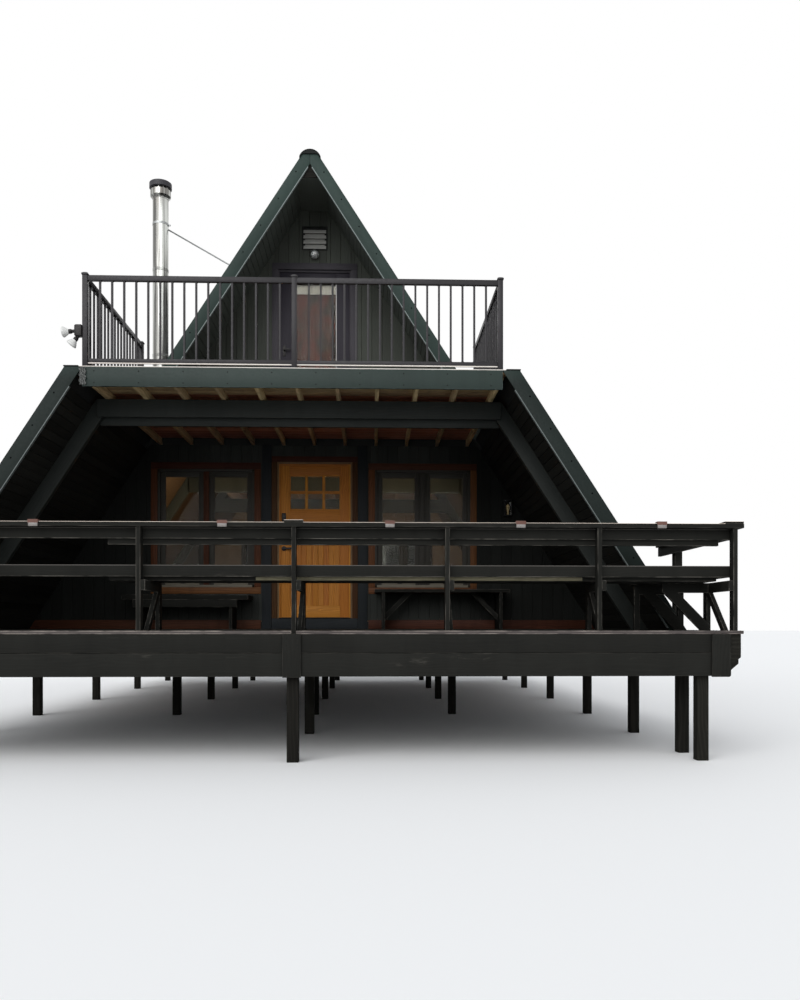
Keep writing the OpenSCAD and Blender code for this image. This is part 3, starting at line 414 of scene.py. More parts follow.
def finishes(p):
    """Each finish: its maker and the values, in the maker's order, that follow its net and its place."""
    return {
        "deck paint": (painted, p.deck_paint, OLD_WOOD, 0.65, 0.12, 0.5, 0.14, 0.6, 0.3, 0.04),
        # rail paint and cap paint end with the colour of a painted highlight on upward bevels: faint on the rails,
        # strong on the caps
        "rail paint": (painted, p.deck_paint, OLD_WOOD, 0.65, 0.12, 0.5, 0.14, 0.6, 0.3, 0.05, (0.1, 0.093, 0.085)),
        "cap paint": (painted, p.deck_paint, (0.2, 0.18, 0.155), 0.65, 0.12, 0.4, 0.12, 0.6, 0.3, 0.05,
                      (0.88, 0.77, 0.66)),
        "skirt paint": (painted, p.deck_paint, OLD_WOOD, 0.65, 0.1, 0.12, 0.25, 0.7, 0.35, 0.06),
        "post paint": (painted, (0.0135, 0.016, 0.018), (0.06, 0.055, 0.05), 0.6, 0.08, 0.2, 0.05, 0.6, 0.2),
        # nosing: the deck paint made about five times lighter on the front board, partly worn edges and partly a
        # painted highlight
        "nosing": (painted, (0.062, 0.053, 0.05), (0.3, 0.26, 0.23), 0.65, 0.1, 1.2, 0.5, 0.6, 0.4),
        "deck boards": (painted, p.deck_floor, (0.22, 0.2, 0.17), 0.8, 0.18, 0.8, 0.4, 0.7, 0.4, 0.02),
        # soffit: the siding stain made about twice as light, painted light in the shade under the upper overhang; the
        # ridge beam and the apex boarding take it too
        "soffit": (painted, (0.082, 0.093, 0.082), STAINED, 0.65, 0.03, 0.0, 0.02, 0.4, 0.2, 0.08),
        "siding": (painted, p.siding, STAINED, 0.65, 0.16, 0.15, 0.04, 0.8, 0.3),
        # porch siding: the siding stain made darker as painted shade under the porch roof, and darker still towards
        # the sides
        "porch siding": (painted, (0.028, 0.03, 0.027), STAINED, 0.65, 0.16, 0.15, 0.04, 0.8, 0.3, 0.06, None, 0.42),
        "lining": (painted, p.lining, (0.06, 0.045, 0.035), 0.7, 0.3, 0.1, 0.05, 0.8, 0.3, 0.05),
        "dark timber": (painted, p.dark_timber, (0.1, 0.08, 0.06), 0.6, 0.08, 0.2, 0.06, 0.7, 0.35),
        "sash": (painted, p.sash, (0.12, 0.12, 0.11), 0.5, 0.06, 0.3, 0.05, 0.3, 0.25),
        "bottom rail": (painted, p.bottom_rail, (0.3, 0.28, 0.24), 0.5, 0.08, 0.3, 0.08, 0.4, 0.3),
        "upper trim": (painted, (0.04, 0.037, 0.043), (0.1, 0.09, 0.09), 0.6, 0.1, 0.3, 0.06, 0.5, 0.25),
        "upper door": (painted, (0.021, 0.0185, 0.025), (0.1, 0.09, 0.09), 0.55, 0.1, 0.3, 0.05, 0.5, 0.25),
        "worn edge": (timber, (0.12, 0.11, 0.072), (0.25, 0.23, 0.15), 0.7, 0.15, 1.0, 0.3, 0.3, 0.5, 0.1),
        "trim": (timber, *shades(p.trim, 0.6, 1.35), 0.5, 0.25, 1.2, 0.3, 0.3, 0.35, 0.1),
        "head trim": (timber, *shades(p.head_trim, 0.6, 1.3), 0.55, 0.2, 1.2, 0.3, 0.3, 0.4, 0.08),
        "casing": (timber, (0.036, 0.015, 0.007), (0.082, 0.037, 0.017), 0.55, 0.2, 1.2, 0.3, 0.3, 0.4, 0.08),
        "door wood": (timber, *shades(p.door, 0.62, 1.25), 0.42, 0.12, 1.5, 0.25, 0.15, 0.08, 0.08),
        "pale wood": (timber, *shades(p.pale_wood, 0.7, 1.25), 0.6, 0.15, 1.3, 0.4, 0.3, 0.2),
        "joist wood": (timber, *shades(p.joist, 0.6, 1.4), 0.65, 0.25, 1.0, 0.6),
        "balcony boards": (timber, *shades(p.balcony_boards, 0.6, 1.4), 0.65, 0.3, TRODDEN),
        # front balcony boards: the same boards as the rest given their own olive tone in the front bay, light and
        # shade painted into their colour
        "front balcony boards": (timber, (0.24, 0.165, 0.09), (0.52, 0.36, 0.2), 0.65, 0.3, TRODDEN),
        "rough timber": (timber, (0.008, 0.0078, 0.0065), (0.022, 0.0205, 0.0175), 0.75, 0.2, 0.8, 0.5, 0.5, 0.5,
                         0.04),
        "ceiling wood": (timber, (0.4, 0.3, 0.2), (0.78, 0.62, 0.44), 0.7, 0.15, 1.0, 0.3, 0.2, 0.1, 0.1, True),
        "inside floor": (timber, (0.2, 0.12, 0.06), (0.42, 0.27, 0.15), 0.45, 0.15, 1.0, 0.3, 0.2, 0.1, 0.25, True),
        # vent frame: far darker than the wall paint, partly its own dark paint and partly painted shade round the
        # louvre
        "vent frame": (coated_metal, (0.009, 0.0095, 0.009), 0.6, 0.0, 0.3, 0.6, (0.05, 0.05, 0.048), 0.1),
        "fascia": (coated_metal, shade(p.fascia, 0.9), 0.45, 0.0, 0.35, 0.5, (0.2, 0.24, 0.23), 0.2),
        # roof fascia: the fascia green made lighter than on the balcony fascia and darkened below the balcony, lit and
        # shaded copies of one paint
        "roof fascia": (coated_metal, shade(p.fascia, 1.25), 0.5, 0.0, 0.45, 0.3, (0.15, 0.18, 0.17), 0.13, 0.34),
        # fascia hem: the fascia green made several times lighter, a painted highlight along the hem, with painted
        # shade below the balcony
        "fascia hem": (coated_metal, (0.15, 0.175, 0.17), 0.4, 0.0, 0.2, {"low": 0.6}),
        "edging": (coated_metal, (0.62, 0.57, 0.52), 0.45, 0.0, 0.25, 0.4, (0.72, 0.68, 0.64)),
        "bronze": (coated_metal, p.bronze, 0.34, 0.35, 0.3, 0.5, (0.12, 0.11, 0.115)),
        "black metal": (coated_metal, (0.012, 0.011, 0.011), 0.35, 0.4, 0.3, 0.5, (0.08, 0.07, 0.06)),
        "dull flashing": (coated_metal, (0.07, 0.073, 0.07), 0.5, 0.3, 0.6),
        "ridge metal": (coated_metal, (0.008, 0.009, 0.0085), 0.6, 0.0, 0.5, 0.3, (0.03, 0.03, 0.03), 0.1),
        "galvanised": (coated_metal, (0.34, 0.35, 0.35), 0.4, 0.8, 0.3, 0.4, (0.6, 0.6, 0.6)),
        "screw": (coated_metal, (0.011, 0.012, 0.011), 0.6, 0.0, 0.3, {"shine": 0.05}),
        "screw hole": (coated_metal, (0.003, 0.004, 0.004), 0.8, 0.0, 0.1, {"shine": 0.02}),
        "grey plastic": (coated_metal, p.vent, 0.5, 0.0, 0.4),
        "copper": (coated_metal, (0.1, 0.052, 0.042), 0.6, 0.0, 0.5, 0.6, (0.26, 0.17, 0.14), 0.1),
        "flue lid": (coated_metal, (0.03, 0.029, 0.033), 0.45, 0.0, 0.5, {"shine": 0.25}),
        "stainless": (stainless,),
        "window glass": (glass, (0.86, 0.87, 0.8), 0.02, 1.15),
        "upper glass": (glass, (0.9, 0.9, 0.86), 0.02, 1.14),
        "clear glass": (glass, (0.92, 0.94, 0.93), 0.03, 1.4),
        "shingle": (shingle, (0.018, 0.019, 0.019), (0.075, 0.076, 0.074)),
        "ridge shingle": (shingle, (0.006, 0.007, 0.0065), (0.024, 0.026, 0.024)),
        "roof body": (roof_body, BEHIND, (0.055, 0.036, 0.021)),
        "wall body": (wall_body, BEHIND, (0.19, 0.135, 0.085)),
        "bulb": (glow, (0.62, 0.62, 0.6)),
        "warm bulb": (glow, (0.45, 0.33, 0.16), 0.1),
        "lens": (glow, (0.17, 0.155, 0.145)),
        "white bead": (glow, (0.34, 0.33, 0.32)),
        "curtain": (cloth, (0.115, 0.036, 0.025), (0.017, 0.018, 0.011)),
        "pale curtain": (cloth, (0.62, 0.6, 0.55), (0.5, 0.48, 0.43)),
    }


MADE = {}


def finish(name):
    """The material of that name, made when first asked for."""
    if name not in MADE:
        maker, *values = finishes(bpy.context.scene.cabin_paints)[name]
        more = values.pop() if values and isinstance(values[-1], dict) else {}
        material = bpy.data.materials.new(name)
        material.use_nodes = True
        net = Net(material.node_tree)
        inputs = maker(net, net.add("TexCoord", output="Object"), *values, **more)
        net.put(material.node_tree.nodes["Principled BSDF"], inputs)
        MADE[name] = material
    return MADE[name]


# ---- mesh helpers

def deselect():
    if bpy.context.object and bpy.context.object.mode != "OBJECT":
        leave()
    bpy.ops.object.select_all(action="DESELECT")


def pick(obj):
    deselect()
    obj.select_set(True)
    bpy.context.view_layer.objects.active = obj


def edit(obj, kind="FACE"):
    """Starts edit mode with everything selected."""
    pick(obj)
    bpy.ops.object.mode_set(mode="EDIT")
    bpy.ops.mesh.select_mode(type=kind)
    bpy.ops.mesh.select_all(action="SELECT")


def edit_faces(obj, chosen):
    """Starts edit mode with only these faces selected, given as one truth value for each."""
    edit(obj)
    bpy.ops.mesh.select_all(action="DESELECT")
    leave()
    obj.data.polygons.foreach_set("select", chosen)
    bpy.ops.object.mode_set(mode="EDIT")


def leave():
    bpy.ops.object.mode_set(mode="OBJECT")


def new_object(name):
    """An empty mesh object with two material slots. The second one marks bevelled edges."""
    deselect()
    bpy.ops.object.add(type="MESH", location=(0, 0, 0))
    obj = bpy.context.object
    obj.name = obj.data.name = name
    return two_slots(obj)


def two_slots(obj):
    while len(obj.data.materials) < 2:
        obj.data.materials.append(None)
    return obj


def applied(obj, kind, **settings):
    """Adds a modifier with these settings and applies it."""
    mod = obj.modifiers.new(kind.lower(), kind)
    for key, value in settings.items():
        setattr(mod, key, value)
    pick(obj)
    bpy.ops.object.modifier_apply(modifier=mod.name)


def row(obj, count, offset):
    """Repeats the mesh count times, each copy offset from the last."""
    applied(obj, "ARRAY", count=count, use_relative_offset=False, use_constant_offset=True,
            constant_offset_displace=offset)


def thickened(obj):
    """Gives a grid the thickness of cloth or thin sheet."""
    applied(obj, "SOLIDIFY", thickness=0.0012)
    edit(obj)
    bpy.ops.mesh.normals_make_consistent(inside=False)
    leave()
    return obj


def layer(source, key, width=1, kind=float):
    """The values of one property of all vertices, edges or faces, as an array."""
    values = np.empty(len(source) * width, kind)
    source.foreach_get(key, values)
    return values.reshape(-1, width) if width > 1 else values


def islands(mesh):
    """A number for each vertex that is the same over each loose part, and the ends of the edges."""
    edges = layer(mesh.edges, "vertices", 2, np.int64)
    label = np.arange(len(mesh.vertices))
    while True:
        low = np.minimum(label[edges[:, 0]], label[edges[:, 1]])
        new = label.copy()
        np.minimum.at(new, edges[:, 0], low)
        np.minimum.at(new, edges[:, 1], low)
        new = new[new]
        if (new == label).all():
            return np.unique(label, return_inverse=True)[1], edges
        label = new


def largest(group, size):
    """The index of the largest member of each group."""
    order = np.lexsort((size, group))
    return order[np.append(np.nonzero(np.diff(group[order]))[0], len(order) - 1)]


def unit(vectors):
    return vectors / (np.linalg.norm(vectors, axis=1)[:, None] + 1e-12)


def board_attributes(obj, seed):
    """Gives each loose board its own grain direction, place in the pattern and tone, and marks bevelled edges."""
    mesh = obj.data
    label, edges = islands(mesh)
    count = label.max() + 1
    co = layer(mesh.vertices, "co", 3)
    run = co[edges[:, 1]] - co[edges[:, 0]]
    along = unit(run[largest(label[edges[:, 0]], np.linalg.norm(run, axis=1))])
    first = np.array([p.vertices[0] for p in mesh.polygons])
    out = layer(mesh.polygons, "normal", 3)[largest(label[first], layer(mesh.polygons, "area"))]
    out = unit(out - along * (out * along).sum(1)[:, None])
    rng = np.random.default_rng(seed)
    offset = rng.uniform(0, 40, (count, 3))
    grain = np.stack([(co * way[label]).sum(1) for way in (along, np.cross(out, along), out)], 1) + offset[label]
    tone = rng.uniform(0, 1, count)[label]
    marked = layer(mesh.polygons, "material_index", kind=np.int32) == 1
    for name, kind, domain, key, values in (
            ("grain", "FLOAT_VECTOR", "POINT", "vector", grain), ("tone", "FLOAT", "POINT", "value", tone),
            ("edge", "FLOAT", "FACE", "value", marked)):
        mesh.attributes.new(name, kind, domain).data.foreach_set(key, values.astype(np.float32).ravel())
    mesh.polygons.foreach_set("material_index", np.zeros(len(mesh.polygons), np.int32))


def dress(obj, material, body="cabin", replaces=(), slot=None, seed=1, angle=35.0, boards_in=True):
    """Material, attributes, shading and the body that the finished piece rides on."""
    if boards_in:
        board_attributes(obj, seed)
    obj.data.materials.clear()
    obj.data.materials.append(finish(material))
    pick(obj)
    bpy.ops.object.shade_smooth_by_angle(angle=math.radians(angle))
    if replaces:
        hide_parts(*replaces)
    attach(obj, body)
    deselect()
    return obj


def bevel_all(obj, width, segments):
    """Bevels every edge in edit mode; the new faces get material 1, which marks them as edges."""
    edit(obj, "EDGE")
    bpy.ops.mesh.bevel(offset=width, segments=segments, affect="EDGES", material=1, clamp_overlap=True)
    leave()


def raw_boards(name, boxes, bevel=0.003, segments=2):
    """One mesh of separate boards. A box is x0, x1, y0, y1, z0, z1 and, where it leans, its turn about Y."""
    obj = new_object(name)
    edit(obj)
    for b in boxes:
        centre = ((b[0] + b[1]) / 2, (b[2] + b[3]) / 2, (b[4] + b[5]) / 2)
        size = (abs(b[1] - b[0]), abs(b[3] - b[2]), abs(b[5] - b[4]))
        bpy.ops.mesh.primitive_cube_add(size=1, location=centre, scale=size,
                                        rotation=(0, b[6] if len(b) > 6 else 0, 0))
    leave()
    if bevel:
        bevel_all(obj, bevel, segments)
    return obj


def boards(name, boxes, material, bevel=0.003, segments=2, **more):
    return dress(raw_boards(name, boxes, bevel, segments), material, **more)


def ring(outer, inner, y0, y1, through=False):
    """Boards round an opening: left, right, top, bottom. The last two end at the first, or with through run past."""
    x0, x1, z0, z1 = outer
    a, b, c, d = inner
    ends = (x0, x1) if through else (a, b)
    return [(x0, a, y0, y1, z0, z1), (b, x1, y0, y1, z0, z1), (*ends, y0, y1, d, z1), (*ends, y0, y1, z0, c)]


def inset(edges, width):
    x0, x1, z0, z1 = edges
    return (x0 + width, x1 - width, z0 + width, z1 - width)


def bead_ring(edges, width, y0, y1):
    """Glazing beads inside an opening: left, right, bottom and top."""
    left, right, top, bottom = ring(edges, inset(edges, width), y0, y1, True)
    return [left, right, bottom, top]


def about(middle, half):
    return (middle - half, middle + half)


def face_of(low, high):
    """The sides, bottom and top of a box seen from the front."""
    return (low.x, high.x, low.z, high.z)


def cut(obj, point, normal):
    """Cuts the piece at a plane, drops what is on the normal's side, and closes the cut."""
    edit(obj)
    bpy.ops.mesh.bisect(plane_co=point, plane_no=normal, use_fill=True, clear_outer=True)
    leave()


def cut_to_roof(obj, depth):
    """Cuts a wall piece at both roof planes."""
    for side in (-1, 1):
        out = (side * math.sin(PITCH), 0, math.cos(PITCH))
        cut(obj, (-out[0] * depth, 0, APEX - out[2] * depth), out)


def softened(node, material, width=0.003, segments=2, **more):
    """A merged copy of a construction node with bevelled edges, which stands for it."""
    obj = new_object(node + "_timber")
    obj.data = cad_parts[node].data.copy()
    obj.data.name = obj.name
    obj.data.materials.clear()
    edit(two_slots(obj))
    bpy.ops.mesh.remove_doubles(threshold=0.00005)
    bpy.ops.mesh.dissolve_limited(angle_limit=math.radians(1))
    leave()
    if width:
        applied(obj, "BEVEL", width=width, segments=segments, limit_method="ANGLE", angle_limit=math.radians(28),
                material=1)
    return dress(obj, material, replaces=(node,), **more)


def turned(name, profile, steps=40):
    """A closed shape turned about Z from a profile of (radius, height)."""
    obj = new_object(name)
    obj.data.from_pydata([(r, 0, h) for r, h in profile], [(i, i + 1) for i in range(len(profile) - 1)], [])
    edit(obj, "VERT")
    bpy.ops.mesh.spin(steps=steps, angle=math.tau, center=(0, 0, 0), axis=(0, 0, 1))
    bpy.ops.mesh.select_all(action="SELECT")
    bpy.ops.mesh.remove_doubles(threshold=0.00002)
    bpy.ops.mesh.normals_make_consistent(inside=False)
    leave()
    return obj


def moved(obj, matrix):
    """Moves the mesh by a matrix or an offset."""
    matrix = matrix if isinstance(matrix, Matrix) else Matrix.Translation(matrix)
    obj.data.transform(matrix)
    if matrix.determinant() < 0:
        edit(obj)
        bpy.ops.mesh.flip_normals()
        leave()
    return obj


def placed(place, axis, degrees):
    """A turn about an axis and then a move."""
    return Matrix.Translation(place) @ Matrix.Rotation(math.radians(degrees), 4, axis)


def joined(name, parts):
    deselect()
    for part in parts:
        part.select_set(True)
    bpy.context.view_layer.objects.active = parts[0]
    if len(parts) > 1:
        bpy.ops.object.join()
    obj = bpy.context.object
    obj.name = obj.data.name = name
    return obj


def copied(model):
    """A copy with its own mesh."""
    copy = model.copy()
    copy.data = model.data.copy()
    bpy.context.scene.collection.objects.link(copy)
    return copy


def repeated(name, model, places):
    """Copies of one small model, joined into one piece."""
    parts = [moved(copied(model), place) for place in places]
    bpy.data.objects.remove(model)
    return joined(name, parts)


def screws(name, points, turn=None, size=1.0, material="screw"):
    """Round screw heads that face -Y where no turn is given."""
    model = turned("screw_head", [(0.0, 0.0022), (0.0032, 0.0016), (0.0046, 0.0)], 10)
    moved(model, Matrix.Rotation(math.pi / 2, 4, "X"))
    moved(model, Matrix.Scale(size, 4))
    if turn is not None:
        moved(model, turn)
    return dress(repeated(name, model, points), material, slot="rail_bronze", boards_in=False)


def cells(start, end, step, gap=0.0):
    """Even cells of about that step from start to end, with the gap left between them."""
    count = max(1, round((end - start) / step))
    pitch = (end - start) / count
    return [(start + i * pitch + gap / 2, start + (i + 1) * pitch - gap / 2) for i in range(count)]


# ---- pieces

def build_platform(sizes):
    for node in ("foundation_posts", "floor_beams"):
        softened(node, "rough timber", 0.004)
    softened("deck_joists", "rough timber")
    softened("house_joists", "rough timber", 0.0)
    softened("floor_rims", "dark timber")
    low, high = DECK_LOW, DECK_HIGH
    mid = sum(v.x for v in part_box("rail_caps")) / 2 + 0.09
    rows = cells(low.y, high.y, sizes.deck_board + sizes.deck_gap, sizes.deck_gap)
    nosing = [(x0, x1, low.y, rows[0][1], low.z, high.z) for x0, x1 in ((low.x, mid - 0.02), (mid + 0.02, high.x))]
    boxes = []
    for i, (y0, y1) in enumerate(rows[1:], 1):
        joints = [low.x, low.x + (2.4, 3.6, 1.9)[i % 3], low.x + (5.0, 5.9, 4.6)[i % 3], high.x]
        boxes += [(x0 + 0.001, x1 - 0.001, y0, y1, low.z, high.z) for x0, x1 in zip(joints, joints[1:])]
    boards("deck_boards", boxes, "deck boards", 0.004, replaces=("porch_deck",), slot="deck_grey", seed=3)
    boards("deck_nosing", nosing, "nosing", 0.005, slot="deck_grey", seed=4)
    across = [low.x + 0.019 + k * (high.x - low.x - 0.038) / 16 for k in range(17)]
    points = [(x, y, high.z) for y0, y1 in rows for x in across for y in (y0 + 0.03, y1 - 0.03)]
    screws("deck_screws", points, Matrix.Rotation(-math.pi / 2, 4, "X"))
    # skirt boards and their cover plates
    s_low, s_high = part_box("skirt_boards")
    front, face, seam = s_low.y + 0.025, s_low.y + 0.003, 0.933
    plates = [s_low.x + 0.095, mid - 0.015, s_high.x - 0.095]
    boxes = [(x0, x1, front, s_high.y, z0, z1) for x0, x1 in ((s_low.x, plates[1]), (plates[1], s_high.x))
             for z0, z1 in ((seam, low.z), (s_low.z + 0.007, seam - 0.003))]
    boxes += [(*about(x, 0.078), face, front, s_low.z, low.z) for x in plates]
    boards("skirt", boxes, "skirt paint", 0.004, 3, replaces=("skirt_boards",), slot="skirt_paint", seed=5)
    points = [(x + dx, face, z) for x in plates for dx in (-0.045, 0.045) for z in (0.78, 0.88, 1.0, 1.06)]
    for k in range(1, 16):
        x = low.x + k * (high.x - low.x) / 16
        if min(abs(x - p) for p in plates) > 0.1:
            points += [(x, front, z) for z in (0.77, 0.89, 0.98, 1.06)]
    screws("skirt_screws", points, size=1.2)


def shingle_field(side, y0, y1, z0, z1, sizes):
    """Rows of tabs on one part of a roof side, cut to its edges. The rows and tabs line up over all the parts."""
    tab, rise = sizes.shingle_tab, sizes.shingle_course
    bottom, top, eaves = down(z0), down(z1), down(ROOF_LOW.z)
    first = math.floor((bottom - eaves) / (2 * rise))
    rows = math.ceil((top - bottom) / (2 * rise)) + 2
    start = math.floor(y0 / tab) - 1
    count = math.ceil((y1 - y0) / tab) + 3
    base = eaves + first * 2 * rise
    obj = new_object("tab")
    edit(obj)
    bpy.ops.mesh.primitive_cube_add(size=1, location=(start * tab + tab / 2, base + rise * 0.55, 0.003),
                                    scale=(tab - 0.008, rise * 1.1, 0.006))
    leave()
    for v in obj.data.vertices:
        upper = v.co.y > base + rise * 0.5
        v.co.z = (0.0015 if upper else 0.0075) if v.co.z > 0.003 else -0.001
    obj = joined("field", [obj, moved(copied(obj), (tab / 2, rise, 0))])
    row(obj, count, (tab, 0, 0))
    row(obj, rows, (0, 2 * rise, 0))
    for point, normal in (((y0, 0, 0), (-1, 0, 0)), ((y1, 0, 0), (1, 0, 0)), ((0, bottom, 0), (0, -1, 0)),
                          ((0, top, 0), (0, 1, 0))):
        cut(obj, point, normal)
    return moved(obj, slope_matrix(side))


def drop_where(obj, test):
    """Deletes the loose parts whose middle passes the test."""
    label, _ = islands(obj.data)
    co = layer(obj.data.vertices, "co", 3)
    middle = np.stack([np.bincount(label, co[:, k]) for k in range(3)], 1) / np.bincount(label)[:, None]
    gone = np.array([bool(test(m)) for m in middle])[label]
    edit_faces(obj, [bool(gone[p.vertices[0]]) for p in obj.data.polygons])
    bpy.ops.mesh.delete(type="FACE")
    leave()


def build_shingles(front, ridge_z, sizes):
    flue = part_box("chimney_flashing")
    for side, label in ((-1, "left"), (1, "right")):
        fields = ((front, WALL, DECK_HIGH.z + 0.004, BALCONY_HIGH.z), (OVERHANG_Y, WALL, BALCONY_HIGH.z, ridge_z),
                  (WALL, ROOF_HIGH.y, ROOF_LOW.z, ridge_z))
        obj = joined("shingles_" + label, [shingle_field(side, *field, sizes) for field in fields])
        if side < 0:
            drop_where(obj, lambda m: flue[0].y < m[1] < flue[1].y and flue[0].z < m[2] < flue[1].z - 0.03)
        dress(obj, "shingle", slot="shingle", seed=11 + side, angle=20)


def ridge_part(name, depth_y, shape):
    """A strip bent over the ridge. Shape gives a vertex's height from the bent line and its X, Z and Y."""
    half, bend, rise = 0.128, 1.25, 0.13
    obj = new_object(name)
    edit(obj)
    bpy.ops.mesh.primitive_cube_add(size=1, location=(0, 0, 0), scale=(2, depth_y, 0.006))
    bpy.ops.mesh.subdivide(number_cuts=11)
    leave()
    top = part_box("ridge_cap")[1].z - 0.014
    for v in obj.data.vertices:
        x = math.sin(v.co.x * bend) / math.sin(bend) * half
        v.co.z = shape(top - (1 - math.cos(v.co.x * bend)) * rise, x, v.co.z, v.co.y)
        v.co.x = x
    return obj


def build_ridge():
    """The ridge cap: a bent core and overlapping tabs over it."""
    low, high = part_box("ridge_cap")
    step, length = 0.25, high.y - low.y
    core = ridge_part("ridge_core", length, lambda bent, x, z, y:
                      bent - 0.002 if z > 0.0029 else min(low.z, APEX - abs(x) * math.tan(PITCH)) + 0.0005)
    moved(core, (0, low.y + length / 2, 0))
    dress(core, "ridge metal", slot="ridge_metal", seed=21, replaces=("ridge_cap",))
    tabs = ridge_part("ridge_tabs", step * 1.15, lambda bent, x, z, y: bent + (z + 0.003) + (0.006 if y < 0 else 0.0))
    row(tabs, int(length / step) + 1, (0, step, 0))
    moved(tabs, (0, low.y + step * 0.6, 0))
    cut(tabs, (0, high.y, 0), (0, 1, 0))
    cut(tabs, (0, low.y, 0), (0, -1, 0))
    dress(tabs, "ridge shingle", slot="ridge_metal", seed=21)


def build_roof(sizes):
    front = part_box("porch_lining")[0].y
    build_shingles(front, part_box("ridge_cap")[0].z - 0.005, sizes)
    build_ridge()
    softened("ridge_beam", "soffit")
    softened("roof_fascias", "roof fascia", slot="fascia_green")
    softened("shoulder_flashing", "ridge metal")
    softened("bent_legs", "dark timber", 0.005)
    softened("cross_beams", "dark timber", 0.005)
    # hems of the fascia covers, lightened as a painted highlight, and their screws
    hems, dots = [], []
    for side in (-1, 1):
        for z0, z1, y in ((DECK_HIGH.z + 0.02, BALCONY_HIGH.z - 0.19, front - 0.025),
                          (BALCONY_HIGH.z + 0.01, APEX - 0.3, OVERHANG_Y - 0.025)):
            length, middle = (z1 - z0) / math.sin(PITCH), (z0 + z1) / 2
            hems.append((*about(side * reach(middle, 0.1435), 0.005), y - 0.004, y + 0.03, *about(middle, length / 2),
                         -side * (math.pi / 2 - PITCH)))
            n = int(length / 0.39)
            heights = [z0 + 0.06 + (z1 - z0 - 0.12) * k / n for k in range(n + 1)]
            dots += [(side * reach(z, 0.055), y, z) for z in heights]
    boards("fascia_hems", hems, "fascia hem", 0.0015, 1, slot="fascia_green")
    screws("fascia_screws", dots, size=1.9, material="screw hole")
    # boards that line the porch roof, and thin ones under the upper overhang
    for name, z0, z1, y, depth, material, stands in (
            ("porch_lining_boards", DECK_HIGH.z, EAVES_Z, front, LINING, "lining", ("porch_lining",)),
            ("overhang_boards", BALCONY_HIGH.z + 0.012, APEX - 0.21, OVERHANG_Y, ROOF_T + THIN_LINING, "soffit", ())):
        boxes = [(y, WALL, a, b, -depth, -ROOF_T - 0.0005)
                 for a, b in cells(down(z0), down(z1), sizes.lining_board, 0.003)]
        parts = [moved(raw_boards("lining", boxes, 0.0035, 1), slope_matrix(side)) for side in (-1, 1)]
        dress(joined(name, parts), material, replaces=stands, slot="lining_wood", seed=31)


def build_apex(sizes):
    """The boxed underside below the ridge of the overhang, and a crumpled end of the balcony flashing."""
    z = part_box("ridge_beam")[0].z - 0.006
    for name, y0, y1, z0, z1, material in (
            ("apex_soffit", OVERHANG_Y + 0.012, WALL - 0.0145, z - 0.009, z, "soffit"),
            # apex_front is near-black rough timber, painted shade below the apex
            ("apex_front", OVERHANG_Y - 0.0005, OVERHANG_Y + 0.011, z - 0.0095, z + 0.3, "rough timber")):
        obj = raw_boards(name, [(-0.3, 0.3, y0, y1, z0, z1)], 0.0015, 1)
        cut_to_roof(obj, ROOF_T + 0.004)
        dress(obj, material, slot="lining_wood", seed=32)
    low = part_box("balcony_fascia")[0]

    def crumpled(u, t):
        bend = 0.006 * math.sin(23 * u + 9 * t) * math.sin(17 * t + 5 * u) + 0.003 * math.sin(61 * t + 31 * u)
        return (low.x - 0.022 + 0.06 * u + 0.006 * math.sin(19 * t), low.y - 0.012 + bend, low.z + 0.012 + 0.165 * t)
    dress(grid("corner_flashing", 10, 18, crumpled), "dull flashing", slot="ridge_metal", boards_in=False, angle=20)


def grid(name, columns, rows, place):
    """A thin sheet whose points place(u, t) gives, with u and t from 0 to 1 across and up it."""
    obj = new_object(name)
    edit(obj)
    bpy.ops.mesh.primitive_grid_add(x_subdivisions=columns, y_subdivisions=rows, size=1, location=(0, 0, 0))
    leave()
    for v in obj.data.vertices:
        v.co = place(v.co.x + 0.5, v.co.y + 0.5)
    return thickened(obj)


def plank_boxes(x0, x1, z0, z1, y0, y1, step, holes):
    """Vertical boards over a wall, left out where holes (x0, x1, z0, z1) are."""
    boxes = []
    for a, b in cells(x0, x1, step, 0.002):
        edges = sorted({a, b} | {e for h in holes for e in h[:2] if a + 0.004 < e < b - 0.004})
        for p, q in zip(edges, edges[1:]):
            spans = [(z0, z1)]
            for h in holes:
                if h[0] < (p + q) / 2 < h[1]:
                    spans = [s for lo, hi in spans for s in ((lo, min(hi, h[2])), (max(lo, h[3]), hi))
                             if s[1] - s[0] > 0.02]
            boxes += [(p, q, y0, y1, lo, hi) for lo, hi in spans]
    return boxes


# middle, sill height, width and height of the windows, front ones first, and the wall they are in
WINDOWS = [(x, 1.579, 1.42, 1.707, side) for side in ("front", "rear")
           for x in (1.41, -1.41)] + [(0.0, 4.332, 1.42, 1.2, "rear")]


def build_walls(sizes):
    holes = [inset((*about(x, w / 2), z, z + h), 0.03) for x, z, w, h, _ in WINDOWS]
    door = (-0.55, 0.55, 0.0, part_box("door_trim")[1].z - 0.02)
    up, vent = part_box("upper_door_trim"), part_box("gable_vent")
    above = [(up[0].x + 0.03, up[1].x - 0.03, up[0].z, up[1].z - 0.03), inset(face_of(*vent), 0.01)]
    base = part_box("base_boards")[1].z - 0.01
    for name, half, z0, z1, y, openings, depth, material, seed in (
            ("siding_front", 3.67, base, EAVES_Z, WALL - SIDING_T, holes[:2] + [door], LINING, "porch siding", 41),
            ("siding_gable", 2.1, BALCONY_HIGH.z, APEX - 0.2, WALL - SIDING_T, above, ROOF_T + THIN_LINING,
             "siding", 42),
            ("siding_rear", 3.65, FLOOR_Z - 0.28, APEX - 0.2, REAR, holes[2:], ROOF_T + 0.001, "siding", 43)):
        planks = plank_boxes(-half, half, z0, z1, y, y + SIDING_T, sizes.siding_board, openings)
        obj = raw_boards(name, planks, 0.004, 1)
        cut_to_roof(obj, depth)
        dress(obj, material, slot="siding_dark", seed=seed)
    for node, material in (("wall_posts", "post paint"), ("base_boards", "head trim"), ("door_sill", "post paint")):
        softened(node, material, 0.004)


